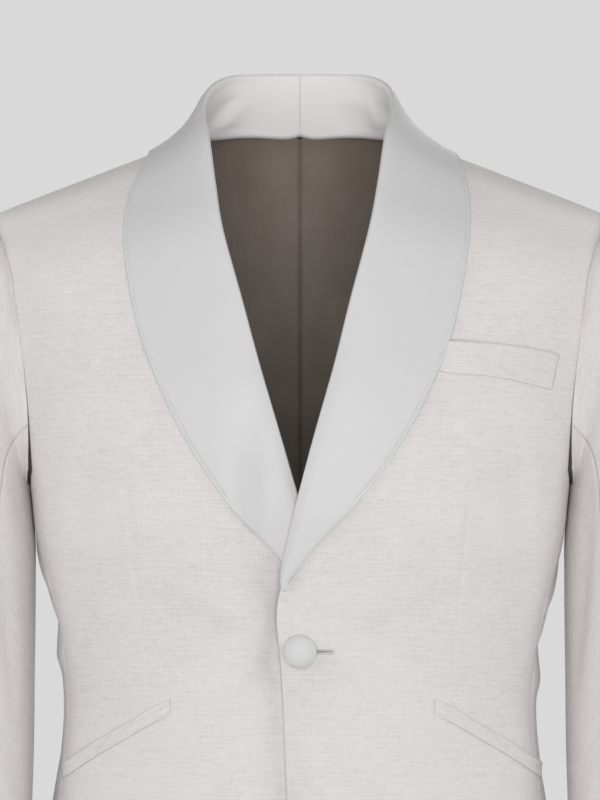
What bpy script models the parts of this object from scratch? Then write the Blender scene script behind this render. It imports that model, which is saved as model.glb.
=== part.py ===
"""A single-breasted dinner jacket with a shawl collar, filled out as when worn, and hollow.

Frame: metres, +Z up, the wearer facing -Y. The origin is in the middle of the neck, level with the
back neck seam. The wearer's left is +X. Tables are in millimetres and degrees, as a tailor drafts them.
"""

import math

import bpy
import bmesh
import numpy as np

MM = 0.001

# Driving sizes, in millimetres
CLOTH = 1.6
SATIN = 1.8
LINING = 1.1
WELT = 1.2
SHANK_GAP = 0.5
CENTRE_GAP = 0.35  # from the centre plane to each half's edge
SEAM_HALF_GAP = 0.22  # degrees round the body, at each side of a seam
RIDGE_GAP = 0.75  # from the shoulder line to each panel's edge
RIDGE_START = -10.0  # height from which the panels draw back for that gap
FRONT_CROWDING = 1.45  # draws the front's columns to its edge
ROUNDNESS = 2.35  # exponent of the body's rings
NECK_RISE = 13.0  # climb of the cloth beside the neck
NECK_NEAR, NECK_FAR, NECK_END = 50.0, 68.0, 105.0  # the climb grows from the centre, holds, and ends
NECK_FADE = -70.0  # height below which there is no climb
CROWN_RADIUS = 3.7  # of the shawl's fold, on its outer face
FACING_REACH, STAND_REACH = 7.0, 2.0  # the shawl's inner leg past its seam, in front and behind
FACING_DEPTH, STAND_DEPTH = 5.3, 8.2  # that leg's depth under the cloth's face, in front and behind
SHAWL_STATIONS = 28
EDGE_LEAST = 0.35  # the collar edge's place at the centre back
BUTTON_RADIUS = 12.2
BUTTON_HEIGHT = -384.0
BUTTON_THICKNESS = 6.0
BUTTON_RIM = 1.2  # height of the button's edge over its back
BUTTON_RIM_INSET = 0.9  # what the back's radius loses to the rim
BUTTON_CLEARANCE = 0.5
SHANK_RADIUS = 1.5
EYELET_RADIUS = 2.2
BUTTONHOLE_LENGTH = 23.0
BUTTONHOLE_WIDTH = 1.2
CUTTER_DEPTH = 10.0
LINING_GAP = 2.9
LINING_SIDE = 1.0  # degrees from the side seam
LINING_HEM, LINING_TOP = -710.0, 15.0
LINING_DROP = 3.0  # of the lining's neck edge below the back's
NECK_AXIS_Y = 5.0
HIP_SHIFT = {"left": 2.5, "right": -1.0}

# Facets
FRONT_COLUMNS, BACK_COLUMNS, SIDE_COLUMNS, LINING_COLUMNS, WELT_COLUMNS = 12, 8, 4, 7, 8
TOP_SLEEVE_COLUMNS, UNDER_SLEEVE_COLUMNS = 10, 5
ARMHOLE_POINTS = 60
DOME_POINTS, BUTTON_STEPS, EYELET_STEPS = 6, 20, 16

# One ring a row, from the hem up to the shoulder line. Height is at the centre, and slope is the drop for
# each millimetre outwards.
BODY = {
    "height": (-735, -700, -600, -501, -430, -368, -307, -262, -197, -140, -104, -66, -38, -10, 6, 15, 21,
               24, 25),
    "slope": (0, 0, 0, 0, 0, 0, 0, 0.03, 0.08, 0.13, 0.17, 0.225, 0.27, 0.32, 0.345, 0.362, 0.374, 0.38,
              0.382),
    "half_width": (206, 204, 196, 183.2, 176.7, 183.5, 197, 201.5, 210, 217.5, 222, 226, 229, 231.5, 231.5,
                   231, 230.8, 230.5, 230.3),
    "front": (128, 127, 123, 118, 116, 121, 129, 133, 130, 120.5, 112, 99, 84, 62, 47, 34, 20.5, 9, 0),
    "back": (132, 130, 122, 110, 105, 108, 115, 121, 124, 119, 112, 100, 89, 74, 60.5, 47, 30, 13, 0),
    "middle": (0, 0, 0, 0, 0, 0, 0, 0, 0, 1.5, 3, 4.5, 6, 7.5, 8, 8, 8, 8, 8),
}
# Panel rows between the rings above, where an edge turns or the cloth bends
FRONT_HEIGHTS = (-725, -650, -550, -338, -285, -245, -215, -168)
BACK_HEIGHTS = (-650, -338, -215, 5, 9)
LINING_HEIGHTS = (2, 3.5, 9)
SIDE_HEIGHTS = (-650, -550, -285)

# The left front's edge, as its distance past the centre. Above the lapel's lower tip it lies in the
# shawl's fold.
FRONT_EDGE = {
    "height": (-735, -725, -715, -675, -620, -560, -490, -420, -388, -362, -345, -338, -331, -300, -271, -225,
               -178, -131, -80, -40, -20, 0, 13, 20, 25),
    "across": (92, 74, 60, 32, 10, -4, -9.5, -12.5, -14.5, -17, -15.5, -13.5, -10, -3, 3, 16, 29.3,
               42, 54, 64, 70, 76, 81, 83.5, 85),
}
# The side panel's two seams, and above them the armhole's edge on the front and on the back
SIDE_SEAM = {"height": (-735, -430, -245, -215), "front": (74, 75, 77, 77), "back": (112, 113, 113.9, 114)}
ARMHOLE_FRONT = {"height": (-245, -225, -197, -160, -104, -38, -10, 13.5, 25),
                 "angle": (77, 73.5, 71, 69.5, 69, 70.5, 74, 82, 90)}
ARMHOLE_BACK = {"height": (-215, -197, -160, -104, -38, -10, 13.5, 25),
                "angle": (114, 115.5, 115, 114, 111, 107, 99, 90)}
BACK_NECK = {"height": (5, 6, 8, 12, 18, 25), "angle": (180, 179, 175, 169.5, 165, 162)}
UNDERARM = {"angle": (77, 84, 90, 97, 106, 114), "height": (-245, -258, -262.5, -258, -240, -215)}

# The shawl, a row for each section from its lower tip to the centre back. The crown is the middle of the
# fold. The edge is given across and by its height at the centre, on the front or the back of the body. The
# right one runs wider, because the left one laps over it.
SHAWL = {
    "crown_x": (-11.5, -4.6, 2.3, 14.5, 27.8, 39.5, 53, 60, 65.5, 70, 71, 66, 52, 30, 0),
    "crown_y": (-125.1, -128.8, -131.4, -130.6, -125.8, -117.4, -104.4, -82, -55, -25, 5, 32, 56, 70, 74),
    "crown_z": (-330, -300, -271, -225, -178, -131, -80, -44.6, -10, 8, 22, 33.5, 41.5, 43.5, 44),
    "edge_x": (-8, 14, 38, 68.3, 92.2, 110, 121.5, 124, 121.5, 118.5, 113.5, 98, 74, 42, 0),
    "edge_height": (-332.5, -305, -279, -237, -188, -135, -66, -23, 3.4, 21, 24, 16.5, 11, 1, -3),
    "edge_back": (0, 0, 0, 0, 0, 0, 0, 0, 0, 0, 1, 1, 1, 1, 1),
    "lift": (0.6, 1, 1, 1.4, 2.4, 2.4, 1.4, 1, 1, 1.2, 1.9, 2, 1.8, 1.6, 1.5),
    "bulge": (0.5, 1, 1.5, 2, 2, 2, 1, -2, -6, -11, -13, -10, -5, -1, 1),
    "crown_wider": (0, 1, 2.8, 4, 4.5, 5.5, 6, 5, 4.5, 4, 2, 0, 0, 0, 0),
    "edge_wider": (8, 11, 11, 8, 6.5, 6, 6, 2.5, -2, -5.5, -3, -1, 0, 0, 0),
    "seam_height": (-331, -300, -271, -225, -178, -131, -80, -40, -15, 10, 25, 17, 9.5, 6.5, 5),
}

# The sleeve, a row for each ring: its inner and outer points, its middle and its half depth
SLEEVE = {
    "inner_x": (202.8, 202.3, 201.2, 199.9, 198.7, 198.4, 198.2, 198.5, 199, 201, 204, 208),
    "inner_z": (-272, -278, -286, -298, -312, -332, -365, -410, -470, -540, -610, -690),
    "outer_x": (243, 266, 287, 302, 311, 316, 319, 319, 317, 313, 308, 303),
    "outer_z": (-66, -80, -106, -145, -195, -255, -330, -400, -465, -537, -608, -690),
    "middle_y": (4, 2, 0, -2, -3, -4, -6, -9, -14, -24, -36, -48),
    "half_depth": (58, 63, 67, 69, 70, 70, 68, 66, 63, 59, 55, 50),
}
SLEEVE_ROUNDNESS = 2.15
SLEEVE_CROWDING = 1.3  # draws the columns to the shoulder point
SLEEVE_START = 1.3  # gap from the armhole to the sleeve
# Heights between which the sleeve's wall turns from beside the body to over it
UNDERARM_TURN = (-258.0, -205.0)
UNDER_SLEEVE = (126, 234)  # degrees from the sleeve's outer side
SLEEVE_SEAM_HALF_GAP = 0.36

# Pocket welts on the front: their upper edge and depth
BREAST_WELT = {"x": (98, 107.6, 135, 162, 188.8), "z": (-158.5, -160, -161.5, -164.5, -169),
               "depth": (22, 23, 23.5, 24.5, 26), "lift": (0.7, 0.7, 0.7, 0.7, 0.7)}
HIP_WELT = {"x": (95, 110, 130, 152, 176), "z": (-419, -427, -440, -454, -472),
            "depth": (11.5, 11, 10.5, 10.5, 10.5), "lift": (0.8, 0.9, 1.2, 1.7, 3.2)}

# How far the wearer's right front sinks where the left one lies on it
OVERLAP_HEIGHT = (-735, -420, -345, -258, -190)
OVERLAP_DEPTH = (4.5, 4.5, 9, 9, 0)
OVERLAP_FULL, OVERLAP_NONE = 20.0, 55.0


def smooth(keys, values, at):
    """A curve through (keys, values) with no corners, read at each number of at."""
    keys, values = np.asarray(keys, float), np.asarray(values, float)
    steps = np.diff(keys)
    slopes = np.diff(values) / steps
    tangents = np.empty_like(values)
    tangents[0], tangents[-1] = slopes[0], slopes[-1]
    tangents[1:-1] = (slopes[:-1] * steps[1:] + slopes[1:] * steps[:-1]) / (steps[:-1] + steps[1:])
    at = np.clip(at, keys[0], keys[-1])
    row = np.clip(np.searchsorted(keys, at, side="right") - 1, 0, len(steps) - 1)
    t = (at - keys[row]) / steps[row]
    return (
        values[row] * (1 + 2 * t) * (1 - t) ** 2
        + values[row + 1] * t * t * (3 - 2 * t)
        + steps[row] * tangents[row] * t * (1 - t) ** 2
        - steps[row] * tangents[row + 1] * t * t * (1 - t)
    )


def read(table, key, column, at):
    return smooth(table[key], table[column], at)


def smoothstep(start, end, at):
    t = np.clip((np.asarray(at, float) - start) / (end - start), 0, 1)
    return t * t * (3 - 2 * t)


TOP_LEVEL = len(BODY["height"]) - 1
LEVELS = np.linspace(0, TOP_LEVEL, 40 * TOP_LEVEL + 1)


def ring(column, level):
    return smooth(range(TOP_LEVEL + 1), BODY[column], level)


def level_at(height):
    return np.interp(height, ring("height", LEVELS), LEVELS)


def neck_rise(across, height):
    """How far the cloth climbs towards the neck, at each side of it."""
    beside = smoothstep(0, NECK_NEAR, across) * (1 - smoothstep(NECK_FAR, NECK_END, across))
    return NECK_RISE * beside * smoothstep(NECK_FADE, 0, height)


def level_through(x, z):
    """The level whose ring passes through x and z."""
    heights = ring("height", LEVELS)
    return np.interp(z, heights - ring("slope", LEVELS) * abs(x) + neck_rise(abs(x), heights), LEVELS)


def power(base, exponent):
    return np.sign(base) * np.abs(base) ** exponent


def form(angle, level):
    """Outer face of the cloth at an angle from the front centre, on the +X side."""
    angle, level = np.broadcast_arrays(np.radians(angle), level)
    across = ring("half_width", level) * power(np.sin(angle), 2 / ROUNDNESS)
    ahead = power(np.cos(angle), 2 / ROUNDNESS)
    depth = np.where(ahead > 0, ring("front", level), ring("back", level))
    height = ring("height", level)
    climb = neck_rise(np.abs(across), height) - ring("slope", level) * np.abs(across)
    return np.stack([across, ring("middle", level) - depth * ahead, height + climb], axis=-1)


def normal(angle, level):
    """Outward direction of the form."""
    turn, rise = 0.2, 0.02
    level = np.minimum(level, TOP_LEVEL - rise)
    along = form(np.add(angle, turn), level) - form(np.subtract(angle, turn), level)
    up = form(angle, np.add(level, rise)) - form(angle, np.maximum(np.subtract(level, rise), 0))
    out = np.cross(along, up)
    return out / np.linalg.norm(out, axis=-1, keepdims=True)


def angle_of(x, level, back=False):
    """The angle whose point on this level's ring lies x from the centre plane."""
    share = np.clip(np.abs(x) / ring("half_width", level), 0, 1)
    angle = np.degrees(np.arcsin(share ** (ROUNDNESS / 2))) * np.sign(x)
    return np.where(back, 180 - angle, angle)


def on_form(angle, level, out=0.0):
    return form(angle, level) + normal(angle, level) * np.asarray(out)[..., None]


def on_front(x, z, out):
    level = level_through(x, z)
    return on_form(angle_of(x, level), level, out)


def wider(column, side, rows):
    """How much wider the right lapel is than the left, which is the drafted one."""
    return np.array(SHAWL[column], float)[rows] * (side < 0)


def edge_across(side, height):
    """A front's edge, then its neck edge, from the centre plane."""
    in_front = slice(0, SHAWL["edge_back"].index(1) + 1)
    more = np.interp(height, SHAWL["seam_height"][in_front], wider("crown_wider", side, in_front))
    return read(FRONT_EDGE, "height", "across", height) + more


def front_end(level):
    """Where the front ends: at the side panel and, above it, at the sleeve."""
    height = ring("height", level)
    seam = np.interp(height, SIDE_SEAM["height"], SIDE_SEAM["front"])
    return np.where(height < ARMHOLE_FRONT["height"][0], seam, read(ARMHOLE_FRONT, "height", "angle", height))


def back_start(level):
    height = ring("height", level)
    seam = np.interp(height, SIDE_SEAM["height"], SIDE_SEAM["back"])
    return np.where(height < ARMHOLE_BACK["height"][0], seam, read(ARMHOLE_BACK, "height", "angle", height))


def sink(points):
    """The wearer's right front, mirrored, set in where the left one lies on it."""
    depth = np.interp(points[..., 2], OVERLAP_HEIGHT, OVERLAP_DEPTH)
    share = 1 - smoothstep(OVERLAP_FULL, OVERLAP_NONE, points[..., 0])
    sunk = points.copy()
    sunk[..., 1] += depth * share
    return sunk


def clear_scene():
    for existing in list(bpy.data.objects):
        bpy.data.objects.remove(existing, do_unlink=True)


def new_collection(name):
    collection = bpy.data.collections.new(name)
    bpy.context.scene.collection.children.link(collection)
    return collection


def new_material(name, colour, roughness):
    material = bpy.data.materials.new(name)
    material.use_nodes = True
    shader = material.node_tree.nodes["Principled BSDF"]
    shader.inputs["Base Color"].default_value = (*colour, 1)
    shader.inputs["Roughness"].default_value = roughness
    shader.inputs["Metallic"].default_value = 0
    return material


def grid_mesh(name, points, flip=False):
    """An open sheet through a grid of points in millimetres, a row of the grid for each row of the array."""
    bm = bmesh.new()
    verts = [[bm.verts.new(point) for point in row] for row in points * MM]
    for lower, upper in zip(verts, verts[1:]):
        for corners in zip(lower, lower[1:], upper[1:], upper):
            bm.faces.new(corners[::-1] if flip else corners)
    mesh = bpy.data.meshes.new(name)
    bm.to_mesh(mesh)
    bm.free()
    mesh.shade_smooth()
    return mesh


def add_object(name, mesh, material, collection):
    thing = bpy.data.objects.new(name, mesh)
    mesh.materials.append(material)
    collection.objects.link(thing)
    return thing


def thicken(thing, thickness, outwards=False):
    wall = thing.modifiers.new("Wall", "SOLIDIFY")
    wall.thickness = thickness * MM
    wall.offset = 1 if outwards else -1
    wall.use_even_offset = True
    return wall


def cloth_panel(name, side, points, material, collection, thickness=CLOTH, outwards=False, flip=False):
    """A walled sheet. Side is +1 for the wearer's left and -1, mirrored, for the right."""
    mesh = grid_mesh(name, points * (side, 1, 1), flip=flip != (side < 0))
    thing = add_object(name, mesh, material, collection)
    thicken(thing, thickness, outwards)
    return thing


def row_heights(lowest, highest, more=()):
    heights = np.array(sorted(set(BODY["height"]) | set(more)), float)
    return heights[(heights >= lowest) & (heights <= highest)]


def body_grid(heights, start, end, columns, out=0.0, crowding=1.0):
    """Points on the form between two angles, which are functions of the level."""
    levels = level_at(heights)[:, None]
    share = np.linspace(0, 1, columns + 1)[None, :] ** crowding
    angles = start(levels) + (end(levels) - start(levels)) * share
    return on_form(angles, levels, out)


def ridge_shift(heights):
    """What keeps each panel's upper rows clear of the shoulder line, a row for each height."""
    share = smoothstep(RIDGE_START, 24, heights)[:, None]
    return np.stack([0 * share, RIDGE_GAP * share, 0 * share], axis=-1)


def front_grid(side):
    heights = row_heights(BODY["height"][0], BODY["height"][-1], FRONT_HEIGHTS)
    points = body_grid(
        heights,
        lambda level: angle_of(edge_across(side, ring("height", level)), level),
        lambda level: front_end(level) - SEAM_HALF_GAP,
        FRONT_COLUMNS,
        crowding=FRONT_CROWDING,
    )
    return points - ridge_shift(heights)


def neck_or_centre(level, drop=0.0):
    """The centre back seam and, above it, the neck edge, as much lower as drop."""
    neck = read(BACK_NECK, "height", "angle", ring("height", level) + drop)
    centre = 180 - np.degrees(np.arcsin((CENTRE_GAP / ring("half_width", level)) ** (ROUNDNESS / 2)))
    return np.minimum(neck, centre)


def back_grid():
    heights = row_heights(BODY["height"][0], BODY["height"][-1], BACK_HEIGHTS)
    points = body_grid(
        heights, lambda level: back_start(level) + SEAM_HALF_GAP, neck_or_centre, BACK_COLUMNS
    )
    return points + ridge_shift(heights)


def side_grid():
    """Common rows up to the highest one under the arm, then two that follow the armhole."""
    points = body_grid(
        row_heights(BODY["height"][0], SIDE_HEIGHTS[-1], SIDE_HEIGHTS),
        lambda level: front_end(level) + SEAM_HALF_GAP,
        lambda level: back_start(level) - SEAM_HALF_GAP,
        SIDE_COLUMNS,
    )
    first, last = UNDERARM["angle"][0] + SEAM_HALF_GAP, UNDERARM["angle"][-1] - SEAM_HALF_GAP
    angles = np.linspace(first, last, SIDE_COLUMNS + 1)
    top = level_at(read(UNDERARM, "angle", "height", angles))
    middle = (top + level_at(SIDE_HEIGHTS[-1])) / 2
    return np.concatenate([points, form(angles, middle)[None], form(angles, top)[None]])


def lining_grid():
    """The back lining, just inside the back, from above the turned hem to behind the collar's stand."""
    return body_grid(
        row_heights(LINING_HEM, LINING_TOP, LINING_HEIGHTS),
        lambda level: back_start(level) + LINING_SIDE,
        lambda level: neck_or_centre(level, LINING_DROP),
        LINING_COLUMNS,
        out=-(CLOTH + LINING_GAP),
    )


def armhole(share):
    """The armhole's edge: share runs from 0 at the shoulder, forwards, to 0.5 under the arm and 1 again."""
    top = BODY["height"][-1]
    front_levels = level_at(np.linspace(top, UNDERARM["height"][0], ARMHOLE_POINTS))
    back_levels = level_at(np.linspace(UNDERARM["height"][-1], top, ARMHOLE_POINTS))
    base = np.linspace(UNDERARM["angle"][0], UNDERARM["angle"][-1], ARMHOLE_POINTS + 1)
    loop = np.concatenate([
        form(front_end(front_levels), front_levels),
        form(base, level_at(read(UNDERARM, "angle", "height", base))),
        form(back_start(back_levels), back_levels),
    ])
    run = np.concatenate([[0], np.cumsum(np.linalg.norm(np.diff(loop, axis=0), axis=1))])
    lowest = run[np.argmin(loop[:, 2])]
    along = np.interp(share, [0, 0.5, 1], [0, lowest, run[-1]])
    return np.stack([np.interp(along, run, loop[:, axis]) for axis in range(3)], axis=-1)


def sleeve_grid(turn):
    """Rings from the armhole to the cuff, on the sleeve's inner face, at angles from its outer side."""
    edge = armhole(np.mod(turn, 360) / 360)
    centre = armhole(np.linspace(0, 1, ARMHOLE_POINTS)).mean(axis=0)
    inwards = (centre - edge) * (0, 1, 1)
    inwards /= np.linalg.norm(inwards, axis=-1, keepdims=True)
    under = (1 - smoothstep(*UNDERARM_TURN, edge[:, 2]))[:, None]
    inwards = inwards * (1 - under) + np.array((1, 0, 0)) * under
    rings = [edge + (SLEEVE_START, 0, 0) + inwards * CLOTH]
    ahead = power(np.sin(np.radians(turn)), 2 / SLEEVE_ROUNDNESS)[:, None]
    out = power(np.cos(np.radians(turn)), 2 / SLEEVE_ROUNDNESS)[:, None]
    for inner_x, inner_z, outer_x, outer_z, middle_y, half_depth in zip(*SLEEVE.values()):
        inner, outer = np.array((inner_x, middle_y, inner_z)), np.array((outer_x, middle_y, outer_z))
        reach = (outer - inner) / 2
        reach *= 1 - CLOTH / np.linalg.norm(reach)
        rings.append((inner + outer) / 2 + reach * out + (0, CLOTH - half_depth, 0) * ahead)
    return np.array(rings)


def clear_of_body(points, clearance):
    """Moves each point out until it lies at least this far outside the form."""
    angles, levels = np.meshgrid(np.arange(0, 181, 2.0), np.arange(0, TOP_LEVEL + 0.01, 0.1))
    surface = form(angles, levels).reshape(-1, 3)
    outwards = normal(angles, levels).reshape(-1, 3)
    moved = points.reshape(-1, 3).copy()
    for _ in range(2):
        nearest = np.linalg.norm(moved[:, None] - surface[None], axis=-1).argmin(axis=1)
        height = ((moved - surface[nearest]) * outwards[nearest]).sum(axis=-1)
        moved += outwards[nearest] * np.maximum(clearance - height, 0)[:, None]
    return moved.reshape(points.shape)


def along_rows(points, at):
    """A smooth curve through a row of points, read at each number of at."""
    rows = range(len(points))
    return np.stack([smooth(rows, points[:, axis], at) for axis in range(3)], axis=-1)


def shawl_lines(side):
    """The crown, the outer edge, and the inner leg's bend and end, a point for each row of the table."""
    crown = np.stack([SHAWL["crown_x"], SHAWL["crown_y"], SHAWL["crown_z"]], axis=-1).astype(float)
    every = slice(None)
    crown[:, 0] += wider("crown_wider", side, every)
    behind = np.array(SHAWL["edge_back"]) == 1
    edge_level = level_at(np.array(SHAWL["edge_height"]))
    edge_x = np.where(crown[:, 0] > 0, np.maximum(SHAWL["edge_x"], EDGE_LEAST), SHAWL["edge_x"])
    edge_angles = angle_of(edge_x + wider("edge_wider", side, every), edge_level, behind)
    edge = on_form(edge_angles, edge_level, np.array(SHAWL["lift"]) + SATIN)
    rows = np.arange(len(crown))
    down = smoothstep(4.0, 9.0, rows)
    seam_height = np.array(SHAWL["seam_height"], float)
    seam_level = level_at(seam_height)
    end_level = level_at(seam_height - STAND_REACH * down)
    depth = FACING_DEPTH + (STAND_DEPTH - FACING_DEPTH) * smoothstep(2.0, 6.0, rows)
    front_x = edge_across(side, seam_height)
    neck = np.sin(np.radians(read(BACK_NECK, "height", "angle", seam_height)))
    seam_x = np.where(behind, ring("half_width", seam_level) * np.abs(neck) ** (2 / ROUNDNESS), front_x)
    bend = on_form(angle_of(seam_x, seam_level, behind), seam_level, -depth)
    end_angles = angle_of(seam_x + FACING_REACH * (1 - down), end_level, behind)
    return crown, edge, bend, on_form(end_angles, end_level, -depth)


def shawl_grid(side):
    lines = shawl_lines(side)
    rows = range(len(lines[0]))
    at = np.linspace(0, rows[-1], SHAWL_STATIONS + 1)
    crown, edge, bend, end = (along_rows(line, at) for line in lines)
    bulge = smooth(rows, SHAWL["bulge"], at)[:, None]
    lift = smooth(rows, SHAWL["lift"], at)
    for line in (crown, edge, bend, end):
        line[-1, 0] = CENTRE_GAP
    tangent = np.gradient(crown, axis=0)
    tangent[-1] = (-1, 0, 0)
    tangent /= np.linalg.norm(tangent, axis=-1, keepdims=True)
    toward = edge - crown
    toward -= tangent * (toward * tangent).sum(axis=-1, keepdims=True)
    toward /= np.linalg.norm(toward, axis=-1, keepdims=True)
    radial = (crown - (0, NECK_AXIS_Y, 0)) * (1, 1, 0)
    radial /= np.linalg.norm(radial, axis=-1, keepdims=True)
    out = np.cross(toward, tangent)
    out *= np.sign((out * radial).sum(axis=-1, keepdims=True))
    out /= np.linalg.norm(out, axis=-1, keepdims=True)
    outer_start = crown + CROWN_RADIUS * out
    columns = [end, bend]
    for degrees in (-90, -45, 0, 45, 90):
        turn = math.radians(degrees)
        columns.append(crown + CROWN_RADIUS * (math.sin(turn) * out - math.cos(turn) * toward))
    middle = (outer_start + edge) / 2 + bulge * radial
    for share in (0.25, 0.5, 0.75, 1):
        outer = outer_start * (1 - share) ** 2 + middle * 2 * share * (1 - share) + edge * share**2
        columns.append(clear_of_body(outer, SATIN + lift))
    grid = np.stack(columns, axis=1)
    grid[-1, :, 0] = CENTRE_GAP
    return grid


def welt_grid(welt, shift=0.0):
    """A strip laid on the front, from its lower edge up."""
    at = np.linspace(0, len(welt["x"]) - 1, WELT_COLUMNS + 1)
    x, z, depth, lift = (smooth(range(len(welt["x"])), column, at) for column in welt.values())
    rows = [
        [
            on_front(across + shift, top - fall * deep, out)
            for across, top, deep, out in zip(x, z, depth, lift)
        ]
        for fall in (1, 0.5, 0)
    ]
    return np.array(rows)


def add_button(material, collection):
    """A covered dome on a shank that passes through the left front to the right one."""
    left = on_front(0.0, BUTTON_HEIGHT, 0)[1]
    right = sink(on_front(0.0, BUTTON_HEIGHT, 0))[1]
    shank_end = right - SHANK_GAP
    back = min(left, on_front(0.0, BUTTON_HEIGHT + BUTTON_RADIUS, 0)[1]) - BUTTON_CLEARANCE
    front = back - BUTTON_THICKNESS
    rim = back - BUTTON_RIM
    dome = [
        (BUTTON_RADIUS * math.sin(turn), (rim - front) * math.cos(turn) - rim)
        for turn in np.linspace(0, math.pi / 2, DOME_POINTS)
    ]
    profile = dome + [
        (BUTTON_RADIUS - BUTTON_RIM_INSET, -back),
        (SHANK_RADIUS, -back),
        (SHANK_RADIUS, -shank_end),
        (0, -shank_end),
    ]
    mesh = bpy.data.meshes.new("button")
    points = [(radius * MM, 0, depth * MM) for radius, depth in profile]
    mesh.from_pydata(points, [(i, i + 1) for i in range(len(profile) - 1)], [])
    thing = add_object("button", mesh, material, collection)
    thing.location = (0, 0, BUTTON_HEIGHT * MM)
    thing.rotation_euler = (math.pi / 2, 0, 0)
    turn = thing.modifiers.new("Turn", "SCREW")
    turn.steps = BUTTON_STEPS
    turn.render_steps = BUTTON_STEPS
    turn.use_merge_vertices = True
    turn.merge_threshold = 0.00001
    turn.use_smooth_shade = True
    return thing


def cut_buttonhole(front, cutters):
    """A keyhole: an eyelet round the shank and a slit away from the edge."""
    place = on_front(0.0, BUTTON_HEIGHT, 0) * MM
    bpy.ops.mesh.primitive_cylinder_add(
        vertices=EYELET_STEPS,
        radius=EYELET_RADIUS * MM,
        depth=CUTTER_DEPTH * MM,
        location=place,
        rotation=(math.pi / 2, 0, 0),
    )
    eyelet = bpy.context.active_object
    bpy.ops.mesh.primitive_cube_add(size=1, location=place + (BUTTONHOLE_LENGTH / 2 * MM, 0, 0))
    slit = bpy.context.active_object
    slit.scale = (BUTTONHOLE_LENGTH * MM, CUTTER_DEPTH * MM, BUTTONHOLE_WIDTH * MM)
    for name, cutter in (("buttonhole_eyelet", eyelet), ("buttonhole_slit", slit)):
        cutter.name = name
        for held in list(cutter.users_collection):
            held.objects.unlink(cutter)
        cutters.objects.link(cutter)
        cutter.hide_render = True
        cutter.display_type = "WIRE"
        cut = front.modifiers.new(name, "BOOLEAN")
        cut.operation = "DIFFERENCE"
        cut.object = cutter


def main():
    clear_scene()
    collection = new_collection("dinner_jacket")
    cutters = new_collection("cutters")
    ivory = new_material("ivory wool and linen", (0.80, 0.76, 0.73), 0.85)
    satin = new_material("ivory satin", (0.78, 0.77, 0.77), 0.38)
    lining = new_material("taupe lining", (0.17, 0.14, 0.12), 0.45)
    cloth_panel("front_right", -1, sink(front_grid(-1)), ivory, collection)
    cut_buttonhole(cloth_panel("front_left", 1, front_grid(1), ivory, collection), cutters)
    cloth_panel("shawl_left", 1, shawl_grid(1), satin, collection, SATIN)
    cloth_panel("shawl_right", -1, sink(shawl_grid(-1)), satin, collection, SATIN)
    first, last = UNDER_SLEEVE[0] + SLEEVE_SEAM_HALF_GAP, UNDER_SLEEVE[1] - SLEEVE_SEAM_HALF_GAP
    under_turns = np.linspace(first, last, UNDER_SLEEVE_COLUMNS + 1)
    share = power(np.linspace(-1, 1, TOP_SLEEVE_COLUMNS + 1), SLEEVE_CROWDING)
    top_turns = share * (UNDER_SLEEVE[0] - SLEEVE_SEAM_HALF_GAP)
    for side, name in ((1, "left"), (-1, "right")):
        cloth_panel(f"side_{name}", side, side_grid(), ivory, collection)
        cloth_panel(f"back_{name}", side, back_grid(), ivory, collection)
        cloth_panel(f"lining_{name}", side, lining_grid(), lining, collection, LINING)
        top = sleeve_grid(top_turns)
        cloth_panel(f"sleeve_top_{name}", side, top, ivory, collection, outwards=True)
        under = sleeve_grid(under_turns)
        cloth_panel(f"sleeve_under_{name}", side, under, ivory, collection, outwards=True)
        hip = welt_grid(HIP_WELT, HIP_SHIFT[name])
        cloth_panel(f"hip_welt_{name}", side, hip, ivory, collection, WELT, outwards=True)
    cloth_panel("breast_welt", 1, welt_grid(BREAST_WELT), ivory, collection, WELT, outwards=True)
    add_button(satin, collection)


main()
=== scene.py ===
"""Looks of the dinner jacket: each cloth piece as a fine thin shell on its solid's form, with creases.

Metres, +Z up, the wearer facing -Y, the wearer's left at +X. Tables are in millimetres and degrees.
"""

import math

import bpy
import numpy as np
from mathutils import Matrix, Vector
from mathutils.kdtree import KDTree


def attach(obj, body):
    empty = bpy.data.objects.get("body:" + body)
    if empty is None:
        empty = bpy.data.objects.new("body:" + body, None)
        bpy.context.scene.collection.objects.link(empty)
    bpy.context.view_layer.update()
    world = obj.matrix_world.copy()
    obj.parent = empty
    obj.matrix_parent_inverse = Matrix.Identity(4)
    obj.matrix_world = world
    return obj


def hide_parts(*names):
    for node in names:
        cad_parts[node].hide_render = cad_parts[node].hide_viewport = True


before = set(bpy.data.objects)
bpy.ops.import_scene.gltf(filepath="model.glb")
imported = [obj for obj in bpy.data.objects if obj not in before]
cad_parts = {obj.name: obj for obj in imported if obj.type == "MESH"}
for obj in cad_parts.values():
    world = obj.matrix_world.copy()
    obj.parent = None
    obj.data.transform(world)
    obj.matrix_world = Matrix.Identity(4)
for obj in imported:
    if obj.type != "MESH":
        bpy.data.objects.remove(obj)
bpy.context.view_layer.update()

MM = 0.001

SIDES = ((-1, "right"), (1, "left"))

# The drafted sizes of part.py
CLOTH = 1.6
SATIN = 1.8
LINING = 1.1
WELT = 1.2
SHANK_GAP = 0.5
ROUNDNESS = 2.35  # exponent of the body's rings
NECK_RISE = 13.0  # climb of the cloth beside the neck
NECK_NEAR, NECK_FAR, NECK_END = 50.0, 68.0, 105.0  # the climb grows from the centre, holds, and ends
NECK_FADE = -70.0  # height below which there is no climb
CROWN_RADIUS = 3.7  # of the shawl's fold, on its outer face
FACING_REACH, STAND_REACH = 7.0, 2.0  # the shawl's inner leg past its seam, in front and behind
FACING_DEPTH, STAND_DEPTH = 5.3, 8.2  # that leg's depth under the cloth's face, in front and behind
EDGE_LEAST = 0.35  # the collar edge's place at the centre back
BUTTON_RADIUS = 12.2
BUTTON_HEIGHT = -384.0
BUTTON_THICKNESS = 6.0
BUTTON_RIM = 1.2  # height of the button's edge over its back
BUTTON_CLEARANCE = 0.5
SHANK_RADIUS = 1.5
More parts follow.
